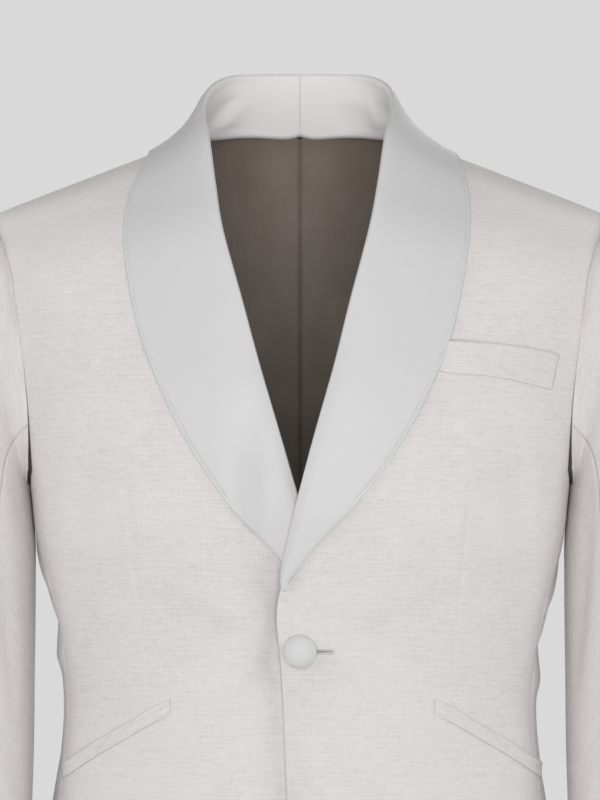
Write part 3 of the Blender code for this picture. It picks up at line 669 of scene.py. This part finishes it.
def linen(name, colour):
    """Ivory wool and linen: uneven slubs along the weft, patches of twill, and a fine thread."""
    material, tree, shader = new_nodes(name, 0.82, 0.12)
    at = along_grain(tree)
    slubs = add_noise(tree, at, (110, 760, 1), 2.0)
    long_slubs = add_noise(tree, at, (32, 620, 1), 2.0)
    warp = add_noise(tree, at, (620, 110, 1), 2.0)
    patches = add_noise(tree, at, (22, 30, 1), 3.0)
    clouds = add_noise(tree, at, (7, 9, 1), 2.0)
    twill = add_waves(tree, at, math.radians(38), 0.0021, 3.0)
    thread = add_noise(tree, at, (1500, 1500, 1), 2.0)
    masked = calculate(tree, "MULTIPLY", mixed(tree, (twill, 0.3)), patches)
    threads = mixed(tree, (slubs, 0.8), (long_slubs, 0.7), (warp, 0.55), (thread, 0.5))
    relief = calculate(tree, "ADD", threads, masked)
    tone = calculate(tree, "ADD", relief, mixed(tree, (clouds, 0.45), (patches, 0.35)))
    colour_by(tree, shader, tone, tinted(colour, 0.83), colour, tinted(colour, 1.09))
    bump_by(tree, shader, relief, 0.0003)
    return material


def satin_finish(name, colour):
    """Smooth silk satin: a soft lustre, a trace of its fine ribs, and slight unevenness."""
    material, tree, shader = new_nodes(name, 0.48, 0.08)
    shader.inputs["Specular IOR Level"].default_value = 0.5
    at = along_grain(tree)
    clouds = add_noise(tree, at, (18, 12, 1), 2.0)
    ribs = add_noise(tree, at, (900, 90, 1), 2.0)
    soft = add_noise(tree, at, (60, 45, 1), 2.0)
    tone = mixed(tree, (clouds, 0.5), (ribs, 0.3), (soft, 0.2))
    colour_by(tree, shader, tone, tinted(colour, 0.955), colour, tinted(colour, 1.03))
    bump_by(tree, shader, mixed(tree, (ribs, 0.25), (soft, 1.0)), 0.00025)
    return material


def lining_finish(name, colour):
    """Taupe silk lining, mottled and a little shiny."""
    material, tree, shader = new_nodes(name, 0.5, 0.03)
    shader.inputs["Specular IOR Level"].default_value = 0.22
    at = along_grain(tree)
    clouds = add_noise(tree, at, (16, 11, 1), 3.0, 0.4)
    blots = add_noise(tree, at, (48, 40, 1), 2.0)
    ribs = add_noise(tree, at, (700, 70, 1), 2.0)
    tone = mixed(tree, (clouds, 1.0), (blots, 0.5), (ribs, 0.3))
    colour_by(tree, shader, tone, (0.235, 0.185, 0.148), colour, (0.345, 0.31, 0.272))
    bump_by(tree, shader, mixed(tree, (clouds, 2.5), (ribs, 0.3)), 0.0004)
    return material


def panel_points(levels, start, end, shares, out=0.0):
    levels = levels[:, None]
    angles = start(levels) + (end(levels) - start(levels)) * shares[None, :]
    return on_form(angles, levels, out)


def raised(points, heights):
    return points + grid_normals(points) * heights[..., None]


def front_drafts(side):
    levels = arc_levels(BODY["height"][0], BODY["height"][-1] - TOP_MARGIN, BODY_ROWS)
    return panel_points(
        levels,
        lambda level: angle_of(edge_across(side, ring("height", level)), level),
        lambda level: front_end(level) + ALLOWANCE * smoothstep(-245, -222, ring("height", level)),
        spread(COLUMNS["front"]),
    )


def add_fronts(cloth, lining):
    for side, name in SIDES:
        draft = front_drafts(side)
        across, up = draft[..., 0] * side, draft[..., 2]
        heights = fold_depths(across, up, FRONT_FOLDS) + fold_depths(across, up, DARTS)
        heights *= 0.1 + 0.9 * smoothstep(-20, -95, up)  # the shoulder is smooth
        heights += seam_roll(draft, ("end", "top"))
        heights += seam_roll(draft, ("start", "bottom"), HEM_ROLL, HEM_WIDTH)
        points = raised(draft, heights)
        if side < 0:
            points = sink(points)
        thing = add_cloth(f"cloth_front_{name}", side, points, (cloth, lining), node=f"front_{name}",
                          grain=straight_grain(draft))
        if side > 0:
            cut_slit(thing)


def add_sides(cloth, lining):
    low = arc_levels(BODY["height"][0], SIDE_TOP, SIDE_ROWS)
    shares = spread(COLUMNS["side"])
    points = panel_points(low, front_end, back_start, shares)
    angles = UNDERARM["angle"][0] + (UNDERARM["angle"][-1] - UNDERARM["angle"][0]) * shares
    top = level_at(read(UNDERARM, "angle", "height", angles))
    start = level_at(SIDE_TOP)
    more = [form(angles, start + (top - start) * share) for share in np.linspace(0, 1, UNDERARM_ROWS + 1)[1:]]
    draft = np.concatenate([points, np.array(more)])
    for side, name in SIDES:
        heights = fold_depths(-draft[..., 1], draft[..., 2] + SIDE_SHIFT * side, SIDE_FOLDS, SIDE_GAIN)
        heights += seam_roll(draft, ("start", "end", "top"))
        heights += seam_roll(draft, ("bottom",), HEM_ROLL, HEM_WIDTH)
        points = raised(draft, heights)
        thing = add_cloth(f"cloth_side_{name}", side, points, (cloth, lining), node=f"side_{name}")


def add_backs(cloth, lining):
    levels = arc_levels(BODY["height"][0], BODY["height"][-1] - TOP_MARGIN, BODY_ROWS)
    draft = panel_points(
        levels,
        lambda level: back_start(level) - ALLOWANCE * smoothstep(-215, -195, ring("height", level)),
        neck_or_centre,
        spread(COLUMNS["back"]),
    )
    for side, name in SIDES:
        heights = fold_depths(draft[..., 0] * side, draft[..., 2], BACK_FOLDS, BACK_GAIN)
        heights += seam_roll(draft, ("start", "end", "top"))
        heights += seam_roll(draft, ("bottom",), HEM_ROLL, HEM_WIDTH)
        points = raised(draft, heights)
        thing = add_cloth(f"cloth_back_{name}", side, points, (cloth, lining), node=f"back_{name}",
                          grain=straight_grain(draft))


def add_linings(lining):
    levels = arc_levels(LINING_HEM, LINING_TOP, LINING_ROWS)
    draft = panel_points(
        levels,
        lambda level: back_start(level) + LINING_SIDE,
        lambda level: neck_or_centre(level, LINING_DROP),
        spread(COLUMNS["lining"]),
        -(CLOTH + LINING_GAP),
    )
    for side, name in SIDES:
        across, up = draft[..., 0] * side + LINING_SHIFT[0], draft[..., 2] + LINING_SHIFT[1]
        heights = fold_depths(across, up, BACK_FOLDS, LINING_GAIN)
        heights += seam_roll(draft, ("end",), 0.25, 1.5)
        thing = add_cloth(
            f"lining_piece_{name}", side, raised(draft, heights), (lining,), LINING,
            node=f"lining_{name}",
        )


def along_grid(grid, at):
    """Smooth curves down a grid's columns, read at each number of at."""
    rows = range(len(grid))
    flat = grid.reshape(len(grid), -1)
    return np.stack([smooth(rows, flat[:, column], at) for column in range(flat.shape[1])], axis=-1).reshape(
        len(at), *grid.shape[1:]
    )


def add_sleeves(cloth):
    at = len(SLEEVE["inner_x"]) * np.linspace(0, 1, SLEEVE_ROWS + 1) ** ROW_CROWDING
    turns = {
        "top": power(np.linspace(-1, 1, COLUMNS["top"] + 1), SLEEVE_CROWDING) * UNDER_SLEEVE[0],
        "under": np.linspace(*UNDER_SLEEVE, COLUMNS["under"] + 1),
    }
    for half, turn in turns.items():
        draft = along_grid(sleeve_grid(turn), at)
        down, _ = run_along(draft, 0)
        round_it = np.radians(np.where(turn > 180, turn - 360, turn)) * SLEEVE_RADIUS
        for side, name in SIDES:
            stretch, shift, lower, gain = SLEEVE_CREASES[side]
            across = np.broadcast_to(round_it * stretch + shift, down.shape)
            heights = fold_depths(across, draft[..., 2] + lower, SLEEVE_FOLDS, gain) * smoothstep(2, 30, down)
            head = np.exp(-(((down - HEAD_PLACE) / HEAD_WIDTH) ** 2))
            heights += HEAD_FULLNESS * head * (np.cos(np.radians(turn)) > 0.2)
            heights += seam_roll(draft, ("start", "end"), SLEEVE_SEAM_ROLL)
            heights += seam_roll(draft, ("top",), HEM_ROLL, HEM_WIDTH)
            thing = add_cloth(
                f"cloth_sleeve_{half}_{name}", side, raised(draft, heights), (cloth,), outwards=True,
                node=f"sleeve_{half}_{name}",
            )


SURFACE_ANGLES, SURFACE_LEVELS = np.meshgrid(np.arange(0, 181, 1.0), np.arange(0, TOP_LEVEL + 0.01, 0.05))
SURFACE = form(SURFACE_ANGLES, SURFACE_LEVELS).reshape(-1, 3)
SURFACE_OUT = normal(SURFACE_ANGLES, SURFACE_LEVELS).reshape(-1, 3)
SURFACE_TREE = KDTree(len(SURFACE))
for number, point in enumerate(SURFACE):
    SURFACE_TREE.insert(point, number)
SURFACE_TREE.balance()


def clear_of_form(points, clearance):
    """Moves each point out until it lies at least this far outside the form."""
    moved = points.reshape(-1, 3).copy()
    clearance = np.broadcast_to(clearance, points.shape[:-1]).reshape(-1)
    for _ in range(2):
        nearest = np.array([SURFACE_TREE.find(point)[1] for point in moved])
        height = ((moved - SURFACE[nearest]) * SURFACE_OUT[nearest]).sum(axis=-1)
        moved += SURFACE_OUT[nearest] * np.maximum(clearance - height, 0)[:, None]
    return moved.reshape(points.shape)


def shawl_draft(side):
    """The shawl's grid: a row for each station, from the inner leg's end round to the outer edge."""
    lines = shawl_lines(side)
    last = len(lines[0]) - 1
    at = np.linspace(0, last, SHAWL_ROWS + 1)
    crown, edge, bend, end = (along_rows(line, at) for line in lines)
    bulge = smooth(range(last + 1), SHAWL["bulge"], at)[:, None]
    lift = smooth(range(last + 1), SHAWL["lift"], at)
    for line in (crown, edge, bend, end):
        line[-1, 0] = 0
    tangent = np.gradient(crown, axis=0)
    tangent[-1] = (-1, 0, 0)
    tangent /= np.linalg.norm(tangent, axis=-1, keepdims=True)
    toward = edge - crown
    toward -= tangent * (toward * tangent).sum(axis=-1, keepdims=True)
    toward /= np.linalg.norm(toward, axis=-1, keepdims=True)
    radial = (crown - (0, NECK_AXIS_Y, 0)) * (1, 1, 0)
    radial /= np.linalg.norm(radial, axis=-1, keepdims=True)
    out = np.cross(toward, tangent)
    out *= np.sign((out * radial).sum(axis=-1, keepdims=True))
    out /= np.linalg.norm(out, axis=-1, keepdims=True)
    radius = (1.0 + (CROWN_RADIUS - 1.0) * smoothstep(-0.2, 1.6, at))[:, None]
    outer_start = crown + radius * out
    first = crown - radius * out
    columns = [end + (bend - end) * share for share in np.linspace(0, 1, FACING_COLUMNS + 1)[:-1]]
    columns += [bend + (first - bend) * share for share in np.linspace(0, 1, LEG_COLUMNS + 1)[:-1]]
    for turn in np.linspace(-math.pi / 2, math.pi / 2, CROWN_COLUMNS + 1)[:-1]:
        columns.append(crown + radius * (math.sin(turn) * out - math.cos(turn) * toward))
    middle = (outer_start + edge) / 2 + bulge * radial
    outer = [
        outer_start * (1 - share) ** 2 + middle * 2 * share * (1 - share) + edge * share**2
        for share in spread(OUTER_COLUMNS)
    ]
    outer = clear_of_form(np.stack(outer, axis=1), (SATIN + lift)[:, None])
    draft = np.concatenate([np.stack(columns, axis=1), outer], axis=1)
    rise = np.interp(at - 1, STAND_RISE[0], STAND_RISE[1])
    share = 1 - smoothstep(4, 28, np.arange(draft.shape[1]))
    draft[..., 2] += rise[:, None] * share
    low, high = CROWN_COLUMN - 3, CROWN_COLUMN + 34
    for _ in range(CROWN_PASSES):
        beside = draft[:, low - 1 : high - 1] + draft[:, low + 1 : high + 1]
        draft[:, low:high] = (beside + 2 * draft[:, low:high]) / 4
    return draft


# Creases in the collar's stand, as (station, share of the stand up from its seam) points
STAND_FOLDS = {
    -1: (
        (((12.5, 32.0), (11.8, 18.0), (11.1, 2.0)), 3.4, 1.7),
        (((11.9, 32.0), (11.3, 20.0), (10.7, 6.0)), 4.2, -2.6),
        (((13.2, 28.0), (12.8, 16.0), (12.2, 5.0)), 6.0, -1.5),
    ),
    1: (
        (((11.8, 32.0), (11.5, 16.0), (11.2, 2.0)), 2.6, 1.6),
        (((12.6, 26.0), (12.3, 14.0), (12.0, 2.0)), 6.5, -2.8),
        (((11.2, 30.0), (10.9, 18.0), (10.7, 8.0)), 3.4, -1.6),
    ),
}


def add_shawls(satin, stand):
    for side, name in SIDES:
        draft = shawl_draft(side)
        rows = np.linspace(0, len(SHAWL["crown_x"]) - 1, SHAWL_ROWS + 1)
        across, whole = run_along(draft, 1)
        to_edge = whole - across
        heights = -EDGE_ROLL * np.exp(-((to_edge / EDGE_WIDTH) ** 2))
        along, _ = run_along(draft, 0)
        along = along[:, -6][:, None]
        ripple = 0.5 - 0.5 * np.cos(2 * math.pi * along / PICK_PERIOD)
        picked = smoothstep(PICK_START - 30, PICK_START, along)
        drawn_in = picked * (PICK_GROOVE + PICK_RIPPLE * ripple)
        heights -= drawn_in * np.exp(-(((to_edge - PICK_INSET) / PICK_WIDTH) ** 2))
        up_stand = across - across[:, FACING_COLUMNS][:, None]
        station = rows[:, None] - 1 + 0 * across
        creases = tuple(
            (tuple((row * STATION, rise) for row, rise in line), width, height)
            for line, width, height in STAND_FOLDS[side]
        )
        on_stand = smoothstep(0, 9, up_stand) * (1 - smoothstep(28, 36, up_stand))
        heights += fold_depths(station * STATION, up_stand, creases) * on_stand
        seam = np.exp(-(((up_stand - STAND_SEAM) / STAND_SEAM_WIDTH) ** 2))
        heights -= STAND_SEAM_DEPTH * seam * smoothstep(9.0, 10.0, station)
        heights[-1] -= 0.05  # the centre seam
        points = raised(draft, heights)
        points[-1, :, 0] = 0
        if side < 0:
            points = sink(points)
        thing = add_cloth(f"satin_shawl_{name}", side, points, (satin,), SATIN,
                          node=f"shawl_{name}")
        # The faces inside the collar take the lapels' satin painted paler, as painted light on the collar's
        # inside
        thing.data.materials.append(stand)
        columns = np.arange(len(thing.data.polygons)) % (draft.shape[1] - 1)
        thing.data.polygons.foreach_set("material_index", (columns < STAND_COLUMNS).astype(np.int32))
        add_pick_stitches(name, side, points, satin)


def join_parts(name, parts, finish):
    """One object from several small meshes, each a list of points in millimetres and its faces."""
    points, faces = [], []
    for part_points, part_faces in parts:
        faces += [tuple(corner + len(points) for corner in face) for face in part_faces]
        points += list(part_points)
    mesh = bpy.data.meshes.new(name)
    mesh.from_pydata((np.array(points) * MM).tolist(), [], faces)
    layer = mesh.uv_layers.new(name="Grain")
    corners = np.array([corner for face in faces for corner in face])
    flat = np.array(points)[corners][:, (0, 2)] * MM
    layer.data.foreach_set("uv", flat.astype(np.float32).reshape(-1))
    mesh.shade_smooth()
    mesh.materials.append(finish)
    thing = put(name, mesh)
    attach(thing, "root")
    return thing


def capsule(start, end, out, radius, sides=6, rings=5):
    """A short rounded thread from start to end."""
    start, end = np.array(start, float), np.array(end, float)
    along = end - start
    length = np.linalg.norm(along)
    along /= length
    across = np.cross(along, out)
    across /= np.linalg.norm(across)
    up = np.cross(across, along)
    points, faces = [start], []
    for place in range(1, rings):
        share = place / rings
        thick = radius * math.sin(math.pi * share) ** 0.5
        middle = start + along * length * share
        for step in range(sides):
            turn = 2 * math.pi * step / sides
            points.append(middle + thick * (math.cos(turn) * across + math.sin(turn) * up))
    points.append(end)
    last = len(points) - 1
    for step in range(sides):
        after = (step + 1) % sides
        faces.append((0, 1 + after, 1 + step))
        for place in range(rings - 2):
            low, high = 1 + place * sides, 1 + (place + 1) * sides
            faces.append((low + step, low + after, high + after, high + step))
        faces.append((last, last - sides + step, last - sides + after))
    return points, faces


def add_pick_stitches(name, side, points, finish):
    """Hand stitches just inside the lapel's outer edge."""
    across, whole = run_along(points, 1)
    inset = np.array([
        [np.interp(far - PICK_INSET, run, row[:, axis]) for axis in range(3)]
        for far, run, row in zip(whole[:, 0], across, points)
    ])
    out = grid_normals(points)[:, -8]
    run = np.concatenate([[0], np.cumsum(np.linalg.norm(np.diff(inset, axis=0), axis=1))])
    parts = []
    place = PICK_START
    while place < run[-1] - 3:
        ends = [
            np.array([np.interp(place + step, run, inset[:, axis]) for axis in range(3)])
            for step in (0, PICK_LENGTH)
        ]
        lift = np.array([np.interp(place, run, out[:, axis]) for axis in range(3)])
        mirror = np.array((side, 1, 1))
        parts.append(capsule(*[(end + lift * 0.05) * mirror for end in ends], lift * mirror, PICK_RADIUS))
        place += PICK_PERIOD * (1 + PICK_UNEVENNESS * math.sin(place * 1.7))
    join_parts(f"pick_stitches_{name}", parts, finish)


def add_welt(name, side, welt, shift, cloth, lean=0.0):
    """A pocket's welt, its top edge turned and its ends and lower edge sewn down."""
    at = np.linspace(0, len(welt["x"]) - 1, COLUMNS["welt"] + 1)
    x, z, depth, lift = (smooth(range(len(welt["x"])), column, at) for column in welt.values())
    out = 0.15 + np.minimum(lift, WELT_LIFT)
    inwards = lean * (x - x[0]) / (x[-1] - x[0])
    draft = np.array([
        [on_front(*place) for place in zip(x + shift - inwards * fall, z - fall * depth, out)]
        for fall in 1 - spread(WELT_ROWS)
    ])
    heights = seam_roll(draft, ("start", "end", "bottom"), 0.6, 2.2)
    heights += seam_roll(draft, ("top",), 0.3, 0.8)
    up, tall = run_along(draft, 0)
    heights += 0.8 * np.exp(-(((tall - up - 2.0) / 1.3) ** 2))  # the turned edge's ridge
    across, whole = run_along(draft, 1)
    for far in (across, whole - across):
        heights -= 0.3 * np.exp(-(((far - 3.2) / 0.7) ** 2))  # the ends' stitching
    thing = add_cloth(
        f"cloth_{name}", side, raised(draft, heights), (cloth,), WELT, outwards=True, node=name
    )


def lathe(profile, steps, centre):
    """A ring of points for each (radius, forward distance) of the profile, round the button's axis."""
    points, faces = [], []
    for radius, forward in profile:
        for step in range(steps):
            turn = 2 * math.pi * step / steps
            points.append((centre[0] + radius * math.cos(turn), forward, centre[2] + radius * math.sin(turn)))
    for row in range(len(profile) - 1):
        for step in range(steps):
            after = (step + 1) % steps
            low, high = row * steps, (row + 1) * steps
            faces.append((low + step, low + after, high + after, high + step))
    faces.append(tuple(range(steps))[::-1])
    faces.append(tuple(range((len(profile) - 1) * steps, len(profile) * steps)))
    return points, faces


def add_button_piece(satin):
    """A covered button: a soft dome whose cover is gathered over a rim, on a wound shank."""
    left = on_front(0.0, BUTTON_HEIGHT, 0)[1]
    right = sink(on_front(0.0, BUTTON_HEIGHT, 0))[1]
    back = min(left, on_front(0.0, BUTTON_HEIGHT + BUTTON_RADIUS, 0)[1]) - BUTTON_CLEARANCE
    front = back - BUTTON_THICKNESS
    rim = back - BUTTON_RIM
    profile = [(0.4, right - SHANK_GAP), (SHANK_RADIUS, right - SHANK_GAP)]
    profile += [(SHANK_RADIUS + 0.12 * (turn % 2), right - SHANK_GAP + (back - right + SHANK_GAP) * turn / 12)
                for turn in range(1, 13)]
    profile += [(BUTTON_RADIUS - 2.5, back - 0.05), (BUTTON_RADIUS - 0.9, back - 0.1)]
    for turn in np.linspace(-0.5, 1, 26):
        swell = max(math.cos(turn * math.pi / 2), 0.02)
        radius = BUTTON_RADIUS * (swell**0.62 if turn > 0 else 1 - 0.05 * turn * turn)
        forward = (front - rim) * math.sin(max(turn, 0) * math.pi / 2)
        profile.append((radius, rim + forward - min(turn, 0) * 0.9))
    profile.append((0.2, front))
    button = join_parts("covered_button", [lathe(profile, 72, (0, 0, BUTTON_HEIGHT))], satin)
    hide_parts("button")


def cut_slit(front):
    """The buttonhole: an eyelet round the shank and a slit, through the left front."""
    place = on_front(0.0, BUTTON_HEIGHT, 0) * MM
    bpy.ops.mesh.primitive_cylinder_add(
        vertices=24, radius=EYELET_RADIUS * MM, depth=CUTTER_LENGTH * MM, location=place,
        rotation=(math.pi / 2, 0, 0),
    )
    eyelet = bpy.context.active_object
    bpy.ops.mesh.primitive_cube_add(size=1, location=place + (BUTTONHOLE_LENGTH / 2 * MM, 0, 0))
    slit = bpy.context.active_object
    slit.scale = (BUTTONHOLE_LENGTH * MM, CUTTER_LENGTH * MM, SLIT_WIDTH * MM)
    for corner in slit.data.vertices:
        if corner.co.x > 0:
            corner.co.z *= SLIT_END
    for name, cutter in (("eyelet", eyelet), ("slit", slit)):
        cut = front.modifiers.new(name, "BOOLEAN")
        cut.operation = "DIFFERENCE"
        cut.object = cutter
    bpy.context.view_layer.update()
    graph = bpy.context.evaluated_depsgraph_get()
    mesh = bpy.data.meshes.new_from_object(front.evaluated_get(graph))
    front.modifiers.clear()
    front.data = mesh
    for cutter in (eyelet, slit):
        bpy.data.objects.remove(cutter, do_unlink=True)


def add_buttonhole_thread(satin):
    """Close stitches round the buttonhole's slit."""
    parts = []
    x = THREAD_START
    while x < BUTTONHOLE_LENGTH + 1.0:
        for way in (-1, 1):
            inner = on_front(x, BUTTON_HEIGHT + way * 0.5, 0.15)
            outer = on_front(x, BUTTON_HEIGHT + way * 2.0, 0.05)
            parts.append(capsule(inner, outer, (0, -1, 0), THREAD_RADIUS))
        x += THREAD_STEP
    for z in (-1.2, -0.6, 0, 0.6, 1.2):
        parts.append(capsule(
            on_front(BUTTONHOLE_LENGTH + 0.9, BUTTON_HEIGHT + z, 0.15),
            on_front(BUTTONHOLE_LENGTH + 2.2, BUTTON_HEIGHT + z, 0.05), (0, -1, 0), 0.36,
        ))
    join_parts("buttonhole_thread", parts, satin)


def plain_material(name, colour, roughness):
    material, tree, shader = new_nodes(name, roughness, 0.0)
    place = tree.nodes.new("ShaderNodeTexCoord").outputs["Object"]
    tone = mixed(tree, (add_noise(tree, place, (3, 3, 3), 2.0), 1.0))
    colour_by(tree, shader, tone, tinted(colour, 0.97), colour, tinted(colour, 1.02))
    return material


def add_floor():
    mesh = bpy.data.meshes.new("floor")
    edge = [(FLOOR_RADIUS * math.cos(turn), FLOOR_RADIUS * math.sin(turn), FLOOR_HEIGHT)
            for turn in np.linspace(0, 2 * math.pi, FLOOR_POINTS + 1)[:-1]]
    mesh.from_pydata(edge, [], [tuple(range(FLOOR_POINTS))])
    mesh.materials.append(plain_material("pale floor", (0.64, 0.64, 0.64), 0.9))
    put("floor", mesh)


def add_light(name, place, target, size, power_watts):
    data = bpy.data.lights.new(name, "AREA")
    data.size = size
    data.energy = power_watts
    lamp = put(name, data)
    lamp.location = place
    lamp.rotation_euler = (Vector(target) - Vector(place)).to_track_quat("-Z", "Y").to_euler()


def add_world(seen, light):
    """One grey behind the jacket, and a dimmer one as the studio's fill."""
    world = bpy.data.worlds.new("studio")
    world.use_nodes = True
    tree = world.node_tree
    tree.nodes.clear()
    output = tree.nodes.new("ShaderNodeOutputWorld")
    mix = tree.nodes.new("ShaderNodeMixShader")
    path = tree.nodes.new("ShaderNodeLightPath")
    tree.links.new(path.outputs["Is Camera Ray"], mix.inputs["Fac"])
    for colour, socket in ((light, mix.inputs[1]), (seen, mix.inputs[2])):
        background = tree.nodes.new("ShaderNodeBackground")
        background.inputs["Color"].default_value = (*colour, 1)
        tree.links.new(background.outputs["Background"], socket)
    tree.links.new(mix.outputs["Shader"], output.inputs["Surface"])
    bpy.context.scene.world = world


def add_camera():
    data = bpy.data.cameras.new("camera")
    data.sensor_width = 36
    data.lens = 180
    camera = put("camera", data)
    camera.location = (0, -3.0, -0.2026)
    camera.rotation_euler = (math.pi / 2, 0, 0)
    bpy.context.scene.camera = camera


def main():
    cloth = linen("ivory wool and linen", (0.795, 0.764, 0.756))
    satin = satin_finish("ivory satin", (0.706, 0.697, 0.701))
    covered = satin_finish("covered button satin", (0.70, 0.695, 0.695))
    lining = lining_finish("taupe lining", (0.295, 0.250, 0.212))
    add_fronts(cloth, lining)
    add_sides(cloth, lining)
    add_backs(cloth, lining)
    add_linings(lining)
    add_sleeves(cloth)
    # The stand satin is the lapels' satin painted paler and warmer, as painted light inside the collar
    add_shawls(satin, satin_finish("stand satin painted paler", (0.85, 0.825, 0.82)))
    add_welt("breast_welt", 1, BREAST_WELT, 0.0, cloth, lean=5.6)
    for side, name in ((1, "left"), (-1, "right")):
        add_welt(f"hip_welt_{name}", side, HIP_WELT, HIP_SHIFT[name], cloth)
    add_button_piece(covered)
    add_buttonhole_thread(satin)
    add_floor()
    add_light("key", (0.05, -3.7, -0.5), (0, 0, -0.3), 2.2, 69)
    add_light("top fill", (-0.3, -1.0, 2.3), (0, 0, -0.1), 2.4, 8)
    add_light("left fill", (-3.0, -1.6, 0.6), (0, 0, -0.3), 2.0, 24)
    add_light("right fill", (3.0, -1.4, 0.4), (0, 0, -0.3), 2.0, 23)
    add_light("back fill", (0.4, 3.4, 0.8), (0, 0, -0.3), 2.2, 30)
    add_world((0.694, 0.694, 0.694), (0.26, 0.258, 0.256))
    add_camera()
    bpy.context.scene.view_settings.view_transform = "Standard"


main()
